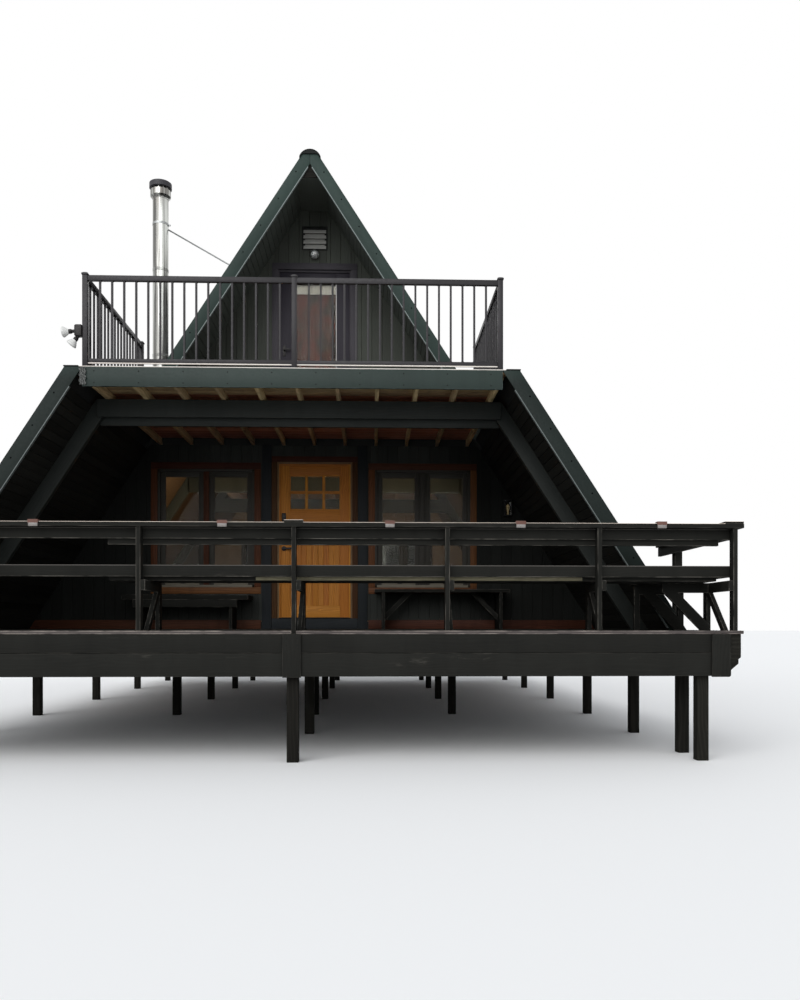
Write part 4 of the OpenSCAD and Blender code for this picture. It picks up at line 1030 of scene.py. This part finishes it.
def window_parts(cx, z0, w, h, side):
    """Trim, jamb and sash boards and glass beads of one window, as lists of boxes."""
    face, inwards = (WALL, 1) if side == "front" else (REAR, -1)
    trim, jamb, stile, post = 0.085, 0.03, 0.06, 0.035

    def deep(a, b):
        return sorted((face + inwards * a, face + inwards * b))

    outer = (*about(cx, w / 2), z0, z0 + h)
    x0, x1, z0, z1 = outer
    hole = inset(outer, trim)
    sides = ring(outer, hole, *deep(-0.025, 0))[:2]
    sides = [(*b[:4], hole[2], hole[3]) for b in sides]
    head, sill = ring(outer, hole, *deep(-0.027, 0), True)[2:]
    jambs = ring(hole, inset(hole, jamb), *deep(-0.02, 0.11), True)
    low, high = inset(hole, jamb)[2:]
    mullion = (*about(cx, post), *deep(-0.005, 0.1), low, high)
    sash, bead = [], []
    wide = (w - 2 * trim - 0.13) / 2
    for a in (cx - post - wide, cx + post):
        b = a + wide
        sash += ring((a, b, low, high), inset((a, b, low, high), stile), *deep(0.02, 0.06))
        x0, x1, z0, z1 = inset((a, b, low, high), stile)
        y = deep(0.026, 0.036)
        bead += [(a + 0.058, a + 0.07, *y, z0, z1), (b - 0.07, b - 0.058, *y, z0, z1),
                 (x0, x1, *y, high - 0.072, z1), (x0, x1, *y, z0, low + 0.072)]
    return sides, head, sill, jambs, mullion, sash, bead


def build_windows(sizes):
    side_boards, head_boards, sill_boards, grey, orange_post, pale = [], [], [], [], [], []
    for k, window in enumerate(WINDOWS):
        sides, head, sill, jambs, post, sash, bead = window_parts(*window)
        side_boards += sides
        head_boards.append(head)
        sill_boards.append(sill)
        (orange_post if k == 1 else grey).append(post)
        grey += jambs[:3] + sash[:3] + sash[4:7] + bead
        pale += [jambs[3], sash[3], sash[7]]
    boards("window_trim_sides", side_boards + sill_boards, "trim", 0.004, slot="trim_redbrown", seed=51)
    boards("window_trim_heads", head_boards + orange_post, "head trim", 0.004, replaces=("window_frames",),
           slot="trim_redbrown", seed=52)
    boards("window_sash_frames", grey, "sash", replaces=("window_sashes",), slot="sash_grey", seed=53)
    boards("window_bottom_rails", pale, "bottom rail", slot="sash_grey", seed=54)
    catches = [(*about(x + s * 0.3, 0.03), WALL + 0.012, WALL + 0.02, z0 + 0.135, z0 + 0.15)
               for x, z0, *_ in WINDOWS[:2] for s in (-1, 1)]
    boards("casement_catches", catches, "black metal", 0.002, 1, slot="dark_metal")


def build_front_door(sizes):
    low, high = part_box("door_leaf")
    y0, y1 = low.y, low.y + 0.044
    z0, z1 = low.z, high.z
    half, stile, bar, lip = 0.457, 0.128, 0.01, 0.012
    inner = half - stile
    lite_low, lite_high, bar_low = z1 - 0.583, z1 - 0.131, z1 - 0.583 + 0.216
    panel_low, panel_high = z0 + 0.145, z1 - 0.783
    wood = ring((-half, half, z0, z1), (-inner, inner, panel_low, lite_high), y0, y1)
    wood += [(-inner, inner, y0, y1, panel_high, lite_low), (-0.03, 0.03, y0, y1, panel_low, panel_high)]
    bars = [(*about(x, bar), y0 + 0.006, y1 - 0.006, lite_low, lite_high) for x in (-0.113, 0.113)]
    bars.append((-inner, inner, y0 + 0.008, y1 - 0.008, bar_low, bar_low + 0.02))
    beads, panels = [], []
    for x0, x1 in ((-inner, -0.123), (-0.103, 0.103), (0.123, inner)):
        for a, b in ((lite_low, bar_low), (bar_low + 0.02, lite_high)):
            for c, d in ((y0 + 0.008, y0 + 0.02), (y1 - 0.02, y1 - 0.008)):
                beads += bead_ring((x0, x1, a, b), 0.008, c, d)
    for x0, x1 in ((-inner, -0.03), (0.03, inner)):
        panels += [(a, b, y0 + lip, y1 - lip, panel_low + 0.002, panel_high - 0.002)
                   for a, b in cells(x0 + lip, x1 - lip, 0.07)]
        edges = (x0, x1, panel_low, panel_high)
        for pair in zip(bead_ring(edges, lip, y0 + 0.005, y0 + 0.014), bead_ring(edges, lip, y1 - 0.014, y1 - 0.005)):
            beads += pair
    parts = [raw_boards("stiles", wood, 0.0025), raw_boards("bars", bars, 0.004),
             raw_boards("beads", beads, 0.0025, 1), raw_boards("panels", panels, 0.004, 1)]
    dress(joined("door_joinery", parts), "door wood", body="door", slot="door_wood", seed=61)
    # hinge knuckles on the inner face
    sleeves = [(r, -0.045 + 0.0225 * k + e) for k in range(4)
               for e, r in ((0.001, 0.007), (0.0215, 0.007), (0.0222, 0.0062))]
    pin = [(0, -0.048), (0.005, -0.047), (0.007, -0.045), *sleeves, (0.007, 0.045), (0.005, 0.047), (0, 0.048)]
    knuckles = []
    for z in (z0 + 0.2, (z0 + z1) / 2, z1 - 0.2):
        knuckles.append(moved(turned("knuckle", pin, 20), (half - 0.005, y1 + 0.012, z)))
        knuckles.append(raw_boards("leaf", [(half - 0.04, half - 0.005, y1, y1 + 0.0035, *about(z, 0.045))], 0.001, 1))
    dress(joined("door_hinges", knuckles), "black metal", body="door", replaces=("door_leaf",), slot="dark_metal",
          boards_in=False)
    # latch set, keypad lock and lever on both faces
    x = -half + 0.052
    rose = [(0, 0), (0.031, 0), (0.031, 0.006), (0.028, 0.0095), (0.014, 0.011),
            (0.011, 0.014), (0.011, 0.046), (0, 0.046)]
    knob = [(0, 0), (0.019, 0), (0.019, 0.004), (0.014, 0.008), (0.013, 0.01), (0, 0.01)]
    parts = []
    for out, y in ((-1, y0), (1, y1)):
        def deep(a, b):
            return sorted((y + out * a, y + out * b))
        keys = [(*about(x - 0.016 + i * 0.016, 0.006), *deep(0.024, 0.0265),
                 z0 + 1.33 - j * 0.016, z0 + 1.341 - j * 0.016) for i in range(3) for j in range(3)]
        parts += [moved(turned("rose", rose, 32), placed((x, y, z0 + 0.9), "X", -90 * out)),
                  raw_boards("lever", [(x - 0.013, x + 0.104, *deep(0.046, 0.06), z0 + 0.888, z0 + 0.911)], 0.005, 3),
                  raw_boards("lock", [(*about(x, 0.027), *deep(0, 0.024), z0 + 1.252, z0 + 1.364)], 0.007, 3),
                  raw_boards("pad", keys, 0.001, 1),
                  moved(turned("turn", knob, 28), placed((x, y + out * 0.024, z0 + 1.272), "X", -90 * out))]
    dress(joined("door_hardware", parts), "black metal", body="door", replaces=("door_handle",), slot="dark_metal",
          boards_in=False)
    # frame and trim
    f_low, f_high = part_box("door_frame")
    outer = face_of(f_low, f_high)
    hole = inset(outer, 0.035)
    boards("door_jambs", ring(outer, hole, f_low.y, f_high.y)[:3], "pale wood", replaces=("door_frame",),
           slot="door_wood", seed=63)
    hole = (*hole[:2], FLOOR_Z + 0.008, hole[3])
    boards("door_stops", ring(hole, inset(hole, 0.018), WALL + 0.006, WALL + 0.024)[:3], "door wood", 0.002,
           slot="door_wood", seed=62)
    t_low, t_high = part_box("door_trim")
    head = (t_low.x, t_high.x, t_low.y, t_high.y, t_high.z - 0.07, t_high.z)
    sides = ring((t_low.x, t_high.x, t_low.z, head[4]), inset(outer, 0.01), t_low.y, t_high.y)[:2]
    boards("door_casing", sides, "casing", 0.004, slot="trim_redbrown", seed=64)
    boards("door_head_casing", [head], "head trim", 0.004, replaces=("door_trim",), slot="trim_redbrown", seed=65)


def curtain_wave(u, t, folds):
    """How far the cloth stands out at u across and t up, from -1 to 1."""
    sway = math.sin(u * folds * math.tau + 0.6 * math.sin(u * 5.0 + 2.0 * t))
    return sway * 0.75 + math.sin(u * folds * 2.3 * math.tau + 1.1) * 0.25


def hung_cloth(name, x0, x1, z0, z1, y, folds, depth, material):
    """A hanging sheet with folds that deepen downwards, shaped in code and given a thin hem. It hangs from the rod."""
    def seen_from_above(u, t):
        deep = depth * (0.45 + 0.55 * (1 - t))
        return x0 + (x1 - x0) * u, deep * curtain_wave(u, t, folds)

    def place(u, t):
        x, out = seen_from_above(u, t)
        return (x, y + out, z0 + (z1 - z0) * t)

    sheet = dress(grid(name, 120, 40, place), material, angle=60, boards_in=False)
    line = [Vector(seen_from_above(i / 400, 0.5)) for i in range(401)]


def build_upper_door(sizes):
    t_low, t_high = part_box("upper_door_trim")
    low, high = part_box("upper_door_leaf")
    g_low, g_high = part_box("upper_door_glass")
    pane = face_of(g_low, g_high)
    x, head = 0.47, t_high.z - 0.085
    left, right, _, sill = ring((t_low.x, t_high.x, t_low.z, head), (-x, x, t_low.z + 0.045, head), t_low.y, WALL)
    trim = [left, right, (t_low.x, t_high.x, t_low.y, WALL, head, t_high.z), sill]
    inner = ring((-0.485, 0.485, low.z - 0.015, high.z + 0.03), (-0.455, 0.455, low.z, high.z), WALL, WALL + 0.11)
    boards("upper_door_casing", trim + inner, "upper trim", 0.004, replaces=("upper_door_trim",), slot="timber_dark",
           seed=71)
    leaf = ring(face_of(low, high), pane, low.y, high.y)
    boards("upper_door_stiles", leaf, "upper door", replaces=("upper_door_leaf",), slot="timber_dark", seed=72)
    beads = bead_ring(pane, 0.012, low.y + 0.004, low.y + 0.019)
    boards("upper_door_beads", beads, "white bead", 0.002, 1, slot="sash_grey", seed=73)
    parts = [raw_boards("handle", [(low.x + a, low.x + b, low.y - c, low.y - d, low.z + e, low.z + f)], bevel)
             for a, b, c, d, e, f, bevel in ((0.035, 0.075, 0.006, 0, 0.92, 1.06, 0.004),
                                             (0.045, 0.15, 0.05, 0.038, 0.99, 1.01, 0.005),
                                             (0.045, 0.065, 0.04, 0.004, 0.99, 1.01, 0.004))]
    dress(joined("upper_door_lever", parts), "black metal", slot="dark_metal", boards_in=False)
    y, top = high.y + 0.05, g_high.z
    hung_cloth("upper_door_curtain", -0.33, 0.33, low.z + 0.2, top - 0.02, y, 6, 0.016, "curtain")
    rod = [(-0.36, 0.36, *about(y, 0.007), top - 0.012, top + 0.002)]
    rod += [(*ends, high.y, y + 0.004, top - 0.02, top + 0.01) for ends in ((-0.36, -0.35), (0.35, 0.36))]
    boards("curtain_rod", rod, "black metal", slot="dark_metal", boards_in=False)
    hung_cloth("upper_door_valance", -0.31, 0.31, top - 0.13, top - 0.012, high.y + 0.015, 3, 0.004, "pale curtain")


def rounded_cap(width, height, top):
    """A domed cap for a square post, shaped from a bevelled block."""
    obj = raw_boards("cap", [(*about(0, width / 2), *about(0, width / 2), 0, height)], 0.0)
    edit_faces(obj, [p.normal.z > 0.9 for p in obj.data.polygons])
    for share in (0.6, 0.4):
        bpy.ops.mesh.inset(thickness=width * 0.16, depth=top * share)
    leave()
    bevel_all(obj, width * 0.03, 2)
    return obj


def build_balcony(sizes):
    low, high = BALCONY_LOW, BALCONY_HIGH
    boxes = []
    for i, (y0, y1) in enumerate(cells(low.y, high.y, 0.144, 0.004)):
        joint = low.x + (1.62, 2.44)[i % 2]
        boxes += [(x0, x1, y0, y1, low.z, high.z) for x0, x1 in ((low.x, joint - 0.001), (joint + 0.001, high.x))]
    boards("balcony_boards_front", boxes[:12], "front balcony boards", slot="balcony_brown", seed=80)
    boards("balcony_boards", boxes[12:], "balcony boards", replaces=("balcony_deck",), slot="balcony_brown", seed=81)
    softened("balcony_joists", "joist wood", 0.004, seed=82)
    softened("balcony_fascia", "fascia")
    softened("balcony_edging", "edging", 0.0035, 3, seed=83)
    for node, width in (("railing_front", 0.0025), ("railing_sides", 0.0025), ("balcony_posts", 0.003)):
        softened(node, "bronze", width)
    p_low, p_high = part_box("balcony_posts")
    left, right, front, back = p_low.x + 0.025, p_high.x - 0.025, p_low.y + 0.025, p_high.y - 0.025
    posts = [(left, front), (0, front), (right, front), (left, back), (right, back)]
    caps, feet = ([(x, y, z) for x, y in posts] for z in (p_high.z - 0.004, high.z + 0.001))
    dress(repeated("balcony_post_caps", rounded_cap(0.062, 0.014, 0.014), caps), "bronze", slot="rail_bronze",
          boards_in=False)
    dress(repeated("balcony_post_feet", rounded_cap(0.088, 0.008, 0.003), feet), "bronze", slot="rail_bronze",
          boards_in=False)
    # small sockets where the balusters meet the rails
    r_low, r_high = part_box("railing_front")
    s_low, s_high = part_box("railing_sides")
    shares = [i / 17 for i in range(1, 17)]
    feet = [(x0 + (x1 - x0) * s, front) for x0, x1 in ((left + 0.025, -0.025), (0.025, right - 0.025)) for s in shares]
    feet += [(x, s_low.y + (s_high.y - s_low.y) * s) for s in shares for x in (left, right)]
    sockets = [(x, y, z) for x, y in feet for z in (r_high.z - 0.056, r_low.z + 0.034)]
    socket = raw_boards("socket", [(*about(0, 0.0135), *about(0, 0.0135), 0, 0.006)], 0.0015, 1)
    dress(repeated("baluster_sockets", socket, sockets), "black metal", slot="rail_bronze", boards_in=False)
    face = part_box("balcony_fascia")[0].y
    screws("balcony_fascia_screws", [(-1.9 + k * 0.422, face, high.z - z) for k in range(10) for z in (0.04, 0.15)],
           size=1.4)


def build_deck_rail(sizes):
    softened("rail_posts", "deck paint", 0.004, seed=91)
    softened("rail_caps", "cap paint", 0.0135, 4, seed=92)
    softened("rail_boards", "rail paint", 0.006, 3, seed=93)
    softened("bench_boards", "deck paint", 0.004, seed=94)
    softened("bench_frames", "deck paint", 0.004, seed=95)
    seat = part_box("bench_boards")[0].y + 0.046
    boards("bench_worn_edge", [(-0.25, 2.58, seat - 0.003, seat + 0.001, 1.553, 1.586)], "worn edge", 0.001, 1,
           slot="rail_paint", seed=96)
    low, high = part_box("rail_posts")
    posts = [0.09 + k * 1.3 for k in range(-2, 3)] + [DECK_LOW.x + 0.068, DECK_HIGH.x - 0.068]
    dots = [(x + dx, low.y, high.z - z) for x in posts for dx in (-0.008, 0.008) for z in (0.05, 0.38)]
    screws("rail_screws", dots, size=1.1)


def build_rail_lamps():
    low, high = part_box("rail_lights")
    hoods, lenses = [], []
    for x in (-2.0696, -0.5057, 0.9009, 2.0098, 3.2162):
        hoods += [(*about(x, 0.042), low.y, high.y, high.z - 0.014, high.z),
                  (*about(x, 0.042), low.y, low.y + 0.004, high.z - 0.03, high.z - 0.012)]
        lenses.append((*about(x, 0.039), low.y + 0.001, low.y + 0.019, low.z, high.z - 0.0145))
    boards("rail_lamp_hoods", hoods, "copper", slot="copper")
    boards("rail_lamp_lenses", lenses, "lens", 0.004, replaces=("rail_lights",), slot="lamp_clear")


def build_lantern():
    low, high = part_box("wall_lantern")
    x, y, z = (low.x + high.x) / 2, low.y, low.z
    near, far = y + 0.012, y + 0.092

    def block(half, y0, y1, z0, z1, dx=0.0):
        return (*about(x + dx, half), y0, y1, z + z0, z + z1)

    bars = [block(0.045, WALL - 0.014, WALL, 0.038, 0.178), block(0.012, y + 0.05, WALL - 0.014, 0.178, 0.2),
            block(0.052, y, y + 0.104, 0.198, 0.212), block(0.03, y + 0.022, y + 0.082, 0.185, 0.199),
            block(0.048, y + 0.004, y + 0.1, 0, 0.012)]
    bars += [block(0.004, *about(side, 0.004), 0.01, 0.19, dx) for dx in (-0.04, 0.04) for side in (near, far)]
    bars += [block(0.042, *about(side, 0.003), 0.096, 0.102) for side in (near, far)]
    boards("lantern_frame", bars, "black metal", 0.0015, 1, replaces=("wall_lantern",), slot="dark_metal")
    panes = [block(0.038, *about(side, 0.001), 0.012, 0.188) for side in (y + 0.014, y + 0.09)]
    panes += [block(0.001, y + 0.014, y + 0.09, 0.012, 0.188, dx) for dx in (-0.04, 0.04)]
    boards("lantern_panes", panes, "clear glass", 0.0, slot="glass", boards_in=False)
    bulb = turned("lantern_bulb", [(0, 0), (0.012, 0), (0.012, 0.03), (0.011, 0.05), (0.02, 0.075), (0.024, 0.1),
                                   (0.018, 0.125), (0.008, 0.137), (0, 0.139)], 24)
    dress(moved(bulb, (x, y + 0.052, z + 0.012)), "warm bulb", slot="lamp_clear", boards_in=False, angle=60)


def build_gable_lamp():
    """A round lamp: base, clear jar and bulb."""
    low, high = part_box("gable_light")
    centre = placed(((low.x + high.x) / 2, WALL, (low.z + high.z) / 2), "X", 90)
    base = [(0, 0), (0.05, 0), (0.05, 0.012), (0.044, 0.02), (0.044, 0.03), (0.04, 0.034), (0, 0.034)]
    jar = [(0.034, 0.032), (0.044, 0.036), (0.056, 0.046), (0.0595, 0.058), (0.056, 0.07), (0.044, 0.0785),
           (0.022, 0.0815), (0, 0.082), (0, 0.079), (0.021, 0.0785), (0.042, 0.0755), (0.053, 0.0685),
           (0.0565, 0.058), (0.053, 0.0475), (0.042, 0.039), (0.034, 0.036)]
    bulb = [(0, 0.033), (0.014, 0.033), (0.015, 0.045), (0.022, 0.056), (0.02, 0.066), (0.01, 0.073), (0, 0.074)]
    for name, profile, steps, material, slot, angle, stands in (
            ("base", base, 36, "galvanised", "lamp_metal", 35, ()),
            ("jar", jar, 40, "clear glass", "lamp_clear", 60, ("gable_light",)),
            ("bulb", bulb, 28, "bulb", "lamp_clear", 60, ())):
        obj = moved(turned("gable_lamp_" + name, profile, steps), centre)
        dress(obj, material, replaces=stands, slot=slot, boards_in=False, angle=angle)


def build_floodlight():
    """The box on the corner post with its two lamps."""
    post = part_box("balcony_posts")[0]
    x, y, z = post.x, post.y + 0.025, BALCONY_HIGH.z + 0.35
    parts = [raw_boards("box", [(x - 0.06, x, y - 0.045, y + 0.025, *about(z, 0.055))], 0.006, 3),
             raw_boards("lid", [(x - 0.07, x - 0.056, y - 0.042, y + 0.022, *about(z, 0.051))], 0.005)]
    bulbs = []
    for dx, dz, turn, arm in ((-0.06, 0.0, -95, 0.06), (-0.04, -0.05, -140, 0.04)):
        place = placed((x + dx, y - 0.01, z + dz), "Y", turn)
        holder = [(0.0215, -0.016), (0.0225, 0.0), (0.0225, 0.008), (0.02, 0.01), (0, 0.01)]
        holder = [(0, -0.008), (0.013, -0.008), (0.016, 0.0), (0.016, arm - 0.022)] + [(r, arm + h) for r, h in holder]
        parts.append(moved(turned("holder", holder, 28), place))
        bulb = [(0, 0.002), (0.019, 0.004), (0.023, 0.012), (0.032, 0.026), (0.043, 0.044), (0.0505, 0.058),
                (0.0515, 0.064), (0.047, 0.07), (0.03, 0.0745), (0, 0.076)]
        bulbs.append(moved(turned("bulb", [(r, arm + h) for r, h in bulb], 36), place))
    dress(joined("floodlight_holder", parts), "black metal", replaces=("floodlight",), slot="lamp_metal",
          boards_in=False)
    dress(joined("floodlight_lamps", bulbs), "bulb", slot="lamp_clear", boards_in=False, angle=60)


def build_lights(sizes):
    build_rail_lamps()
    build_lantern()
    build_gable_lamp()
    build_floodlight()


def build_vent(sizes):
    low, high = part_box("gable_vent")
    edges, rim, blade_count = face_of(low, high), 0.018, 4
    hole = inset(edges, rim)
    boards("vent_frame", ring(edges, hole, low.y, WALL), "vent frame", 0.004, slot="vent_grey", seed=99)
    blades = []
    for z0, z1 in cells(hole[2], hole[3], (hole[3] - hole[2]) / blade_count):
        blade = raw_boards("blade", [(hole[0], hole[1], -0.039, 0.039, -0.003, 0.003)], 0.002)
        blades.append(moved(blade, placed((0, WALL - 0.003, (z0 + z1) / 2), "X", 66)))
    dress(joined("gable_louvre", blades), "grey plastic", replaces=("gable_vent",), slot="vent_grey")


def build_chimney(sizes):
    low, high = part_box("chimney_pipe")
    x, y, top = (low.x + high.x) / 2, (low.y + high.y) / 2, high.z
    r = 0.1075

    def round_part(name, profile, z=0.0, steps=56):
        """Turned about the flue's middle, from (radius beyond the pipe, height above z)."""
        return moved(turned(name, [(max(0.0, r + dr), z + h) for dr, h in profile], steps), (x, y, 0))

    seam = [(0, 0), (0.002, 0.001), (0.004, 0.006), (0.002, 0.011), (0.002, 0.016), (0.004, 0.02), (0.004, 0.026),
            (0.002, 0.03), (0.004, 0.036), (0.002, 0.043), (0, 0.044)]
    profile = [(-r, low.z - top), (0, low.z - top)] + [(dr, h - z) for z in (2.455, 1.262) for dr, h in seam]
    profile += [(0, -0.26), (0.003, -0.256), (0.003, -0.25), (0.012, -0.235), (0.0325, -0.212), (0.0325, -0.132),
                (0.029, -0.13), (0.08 - r, -0.13), (-r, -0.13)]
    parts = [round_part("flue_pipe", profile, top),
             round_part("core", [(-r, -0.14), (0.078 - r, -0.14), (0.078 - r, -0.09), (-r, -0.09)], top, 40)]
    lid = [(-r, -0.1), (0.043, -0.1), (0.0455, -0.097), (0.0455, -0.03), (0.041, -0.026), (0.1 - r, -0.008),
           (0.06 - r, -0.001), (-r, 0)]
    dress(round_part("flue_lid", lid, top), "flue lid", slot="stainless", boards_in=False)
    for k in range(12):
        strut = raw_boards("strut", [(0.118, 0.124, -0.008, 0.008, top - 0.132, top - 0.098)], 0.001, 1)
        parts.append(moved(strut, placed((x, y, 0), "Z", k * 30)))
    dress(joined("flue", parts), "stainless", replaces=("chimney_pipe",), slot="stainless", boards_in=False)
    softened("chimney_flashing", "dull flashing", 0.0)
    collar = [(0.001, 0.05), (0.005, 0.05), (0.04, 0.004), (0.042, 0), (0.038, 0), (0.001, 0.044)]
    collar = round_part("flue_collar", collar, APEX - abs(x) * math.tan(PITCH) + 0.24)
    dress(collar, "galvanised", slot="lamp_metal", boards_in=False)
    softened("chimney_stay", "galvanised", 0.0)
    z = top - 0.615
    band = round_part("flue_clamp", [(0, 0), (0.003, 0), (0.003, 0.03), (0, 0.03)], z)
    ear = raw_boards("ear", [(x + r, x + r + 0.03, *about(y, 0.012), z + 0.004, z + 0.026)])
    dress(joined("flue_stay_clamp", [band, ear]), "galvanised", slot="lamp_metal", boards_in=False)


def build_inside(sizes):
    """Materials for the construction nodes that are shown as they are."""
    walls = ("front_wall_left", "front_wall_right", "front_wall_head", "front_gable", "rear_wall", "rear_gable")
    for material, nodes in (("inside floor", ("house_floor",)), ("ceiling wood", ("loft_floor", "loft_joists")),
                            ("roof body", ("roof_left", "roof_right")), ("wall body", walls),
                            ("window glass", ("door_glass", "window_glass")), ("upper glass", ("upper_door_glass",))):
        for node in nodes:
            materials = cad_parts[node].data.materials
            materials.clear()
            materials.append(finish(material))


def staged(name, data, place=(0, 0, 0), turn=(0, 0, 0)):
    """A lamp or camera at its place, turned by these degrees."""
    obj = bpy.data.objects.new(name, data)
    bpy.context.scene.collection.objects.link(obj)
    obj.location = place
    obj.rotation_euler = [math.radians(a) for a in turn]
    return obj


def build_stage(sizes):
    """Pale floor, soft studio light and the camera at the photograph's place."""
    scene = bpy.context.scene
    deselect()
    bpy.ops.mesh.primitive_plane_add(size=400, location=(0, 0, -0.0005))
    floor = bpy.context.object
    floor.name = "studio_floor"
    material = bpy.data.materials.new("studio floor")
    material.use_nodes = True
    Net(material.node_tree).put(material.node_tree.nodes["Principled BSDF"],
                                {"Roughness": 0.9, "Specular IOR Level": 0.2, "Base Color": (0.9, 0.9, 0.895)})
    floor.data.materials.append(material)
    scene.world = bpy.data.worlds.new("studio")
    scene.world.use_nodes = True
    net = Net(scene.world.node_tree)
    rays = net.add("LightPath").node.outputs
    seen = net.plus(net.plus(rays["Is Camera Ray"], rays["Is Glossy Ray"]), rays["Is Transmission Ray"], True)
    net.put(scene.world.node_tree.nodes["Background"],
            {"Color": net.mix(seen, (0.64, 0.66, 0.69), (1.0, 1.0, 1.0)), "Strength": 1.0})
    for name, turn, spread, strength in (("key", (58, 0, -26), 50, 1.65), ("front", (80, 0, 4), 60, 0.95)):
        light = bpy.data.lights.new(name, "SUN")
        light.angle, light.energy = math.radians(spread), strength
        staged(name, light, turn=turn)
    for name, place, power in (("left room lamp", (-1.3, WALL + 1.0, 2.65), 110),
                               ("right room lamp", (1.3, WALL + 1.0, 2.65), 110),
                               ("loft lamp", (0.0, 1.5, 5.0), 12)):
        light = bpy.data.lights.new(name, "POINT")
        light.shadow_soft_size, light.energy, light.color = 0.5, power, (1.0, 0.82, 0.62)
        obj = staged(name, light, place)
        obj.visible_camera = obj.visible_glossy = obj.visible_transmission = False
    data = bpy.data.cameras.new("camera")
    data.lens, data.sensor_width, data.shift_y, data.clip_end = 31.32, 36, 0.126, 1000
    scene.camera = staged("camera", data, (0.755, WALL - 11.40, 1.16), (90, 0, -1.8))
    scene.view_settings.view_transform = "Standard"


# ---- the add-on

def board_size(name, text, default, low, high):
    return bpy.props.FloatProperty(name=name, description=text, default=default, min=low, max=high, unit="LENGTH")


def paint(name, text, default):
    return bpy.props.FloatVectorProperty(name=name, description=text, default=default, subtype="COLOR", min=0, max=1)


class CabinSizes(bpy.types.PropertyGroup):
    """Sizes of the boards and shingles."""
    siding_board: board_size("Siding board", "Width of a wall board", 0.136, 0.08, 0.3)
    deck_board: board_size("Deck board", "Width of a deck board", 0.14, 0.08, 0.2)
    deck_gap: board_size("Deck gap", "Gap between deck boards", 0.006, 0.002, 0.01)
    lining_board: board_size("Lining board", "Width of a board under the porch roof", 0.09, 0.06, 0.2)
    shingle_tab: board_size("Shingle tab", "Width of a shingle tab", 0.305, 0.2, 0.4)
    shingle_course: board_size("Shingle course", "Height of a shingle course", 0.143, 0.1, 0.2)


class CabinPaints(bpy.types.PropertyGroup):
    """Colours of the paints and woods."""
    deck_paint: paint("Deck paint", "Paint on the deck rail, the benches and the skirt boards", (0.012, 0.012, 0.0105))
    deck_floor: paint("Deck floor", "Weathered paint on the deck boards", (0.018, 0.018, 0.0162))
    siding: paint("Siding", "Stain on the wall boards", (0.038, 0.042, 0.035))
    lining: paint("Lining", "Stain on the boards under the roof", (0.016, 0.016, 0.014))
    dark_timber: paint("Dark timber", "Paint on the roof frame and the rims", (0.021, 0.024, 0.022))
    fascia: paint("Fascia", "Green covers of the roof edges", (0.0155, 0.0255, 0.022))
    trim: paint("Trim", "Orange-brown sides of the window trim", (0.115, 0.043, 0.0165))
    head_trim: paint("Head trim", "Red-brown head trim and base boards", (0.066, 0.023, 0.013))
    door: paint("Door", "Varnished front door", (0.52, 0.205, 0.036))
    pale_wood: paint("Pale wood", "Unpainted front door frame", (0.18, 0.105, 0.05))
    joist: paint("Joists", "Balcony joists", (0.56, 0.415, 0.22))
    balcony_boards: paint("Balcony boards", "Red-brown boards of the balcony", (0.42, 0.17, 0.11))
    sash: paint("Sashes", "Dark grey window sashes", (0.038, 0.035, 0.029))
    bottom_rail: paint("Bottom rails", "Beige-grey lowest rails of the windows", (0.14, 0.125, 0.095))
    bronze: paint("Railing", "Dark bronze of the balcony railing", (0.0135, 0.0125, 0.014))
    vent: paint("Vent", "Grey blades of the louvre", (0.3, 0.3, 0.28))


def operator(label, text, builder):
    """An operator class that builds one group of pieces."""
    def execute(self, context):
        builder(context.scene.cabin_sizes)
        return {"FINISHED"}
    name = builder.__name__.replace("build_", "")
    return type("CABIN_OT_" + name, (bpy.types.Operator,), {
        "bl_idname": "cabin." + name, "bl_label": label, "__doc__": text, "execute": execute})


OPERATORS = [
    operator("Stage", "Add the floor, the light and the camera", build_stage),
    operator("Platform", "Build the deck boards and the skirt", build_platform),
    operator("Roof", "Build the shingles, fascias and lining", build_roof),
    operator("Apex", "Box in the overhang below the ridge", build_apex),
    operator("Walls", "Build the wall boards", build_walls),
    operator("Windows", "Build the window trim and sashes", build_windows),
    operator("Front door", "Build the front door, its frame and its locks", build_front_door),
    operator("Upper door", "Build the balcony door and its curtain", build_upper_door),
    operator("Vent", "Build the gable louvre", build_vent),
    operator("Balcony", "Build the balcony boards and railing", build_balcony),
    operator("Deck rail", "Build the deck rail and the benches", build_deck_rail),
    operator("Lights", "Build the lamps", build_lights),
    operator("Chimney", "Build the flue", build_chimney),
    operator("Inside", "Give the carried-over construction its materials", build_inside),
]


class CABIN_PT_panel(bpy.types.Panel):
    """Lists the cabin's sizes, colours and pieces."""
    bl_idname = "CABIN_PT_panel"
    bl_label = "A-frame cabin"
    bl_space_type = "VIEW_3D"
    bl_region_type = "UI"
    bl_category = "Cabin"

    def draw(self, context):
        for group in (context.scene.cabin_sizes, context.scene.cabin_paints):
            for key in group.__annotations__:
                self.layout.prop(group, key)
        for made in OPERATORS:
            self.layout.operator(made.bl_idname)


CLASSES = [CabinSizes, CabinPaints, *OPERATORS, CABIN_PT_panel]


def register():
    for c in CLASSES:
        bpy.utils.register_class(c)
    bpy.types.Scene.cabin_sizes = bpy.props.PointerProperty(type=CabinSizes)
    bpy.types.Scene.cabin_paints = bpy.props.PointerProperty(type=CabinPaints)


def unregister():
    del bpy.types.Scene.cabin_paints
    del bpy.types.Scene.cabin_sizes
    for c in reversed(CLASSES):
        bpy.utils.unregister_class(c)


def main():
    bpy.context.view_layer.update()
    register()
    for made in OPERATORS:
        group, name = made.bl_idname.split(".")
        getattr(getattr(bpy.ops, group), name)()
    deselect()


if __name__ == "__main__":
    main()
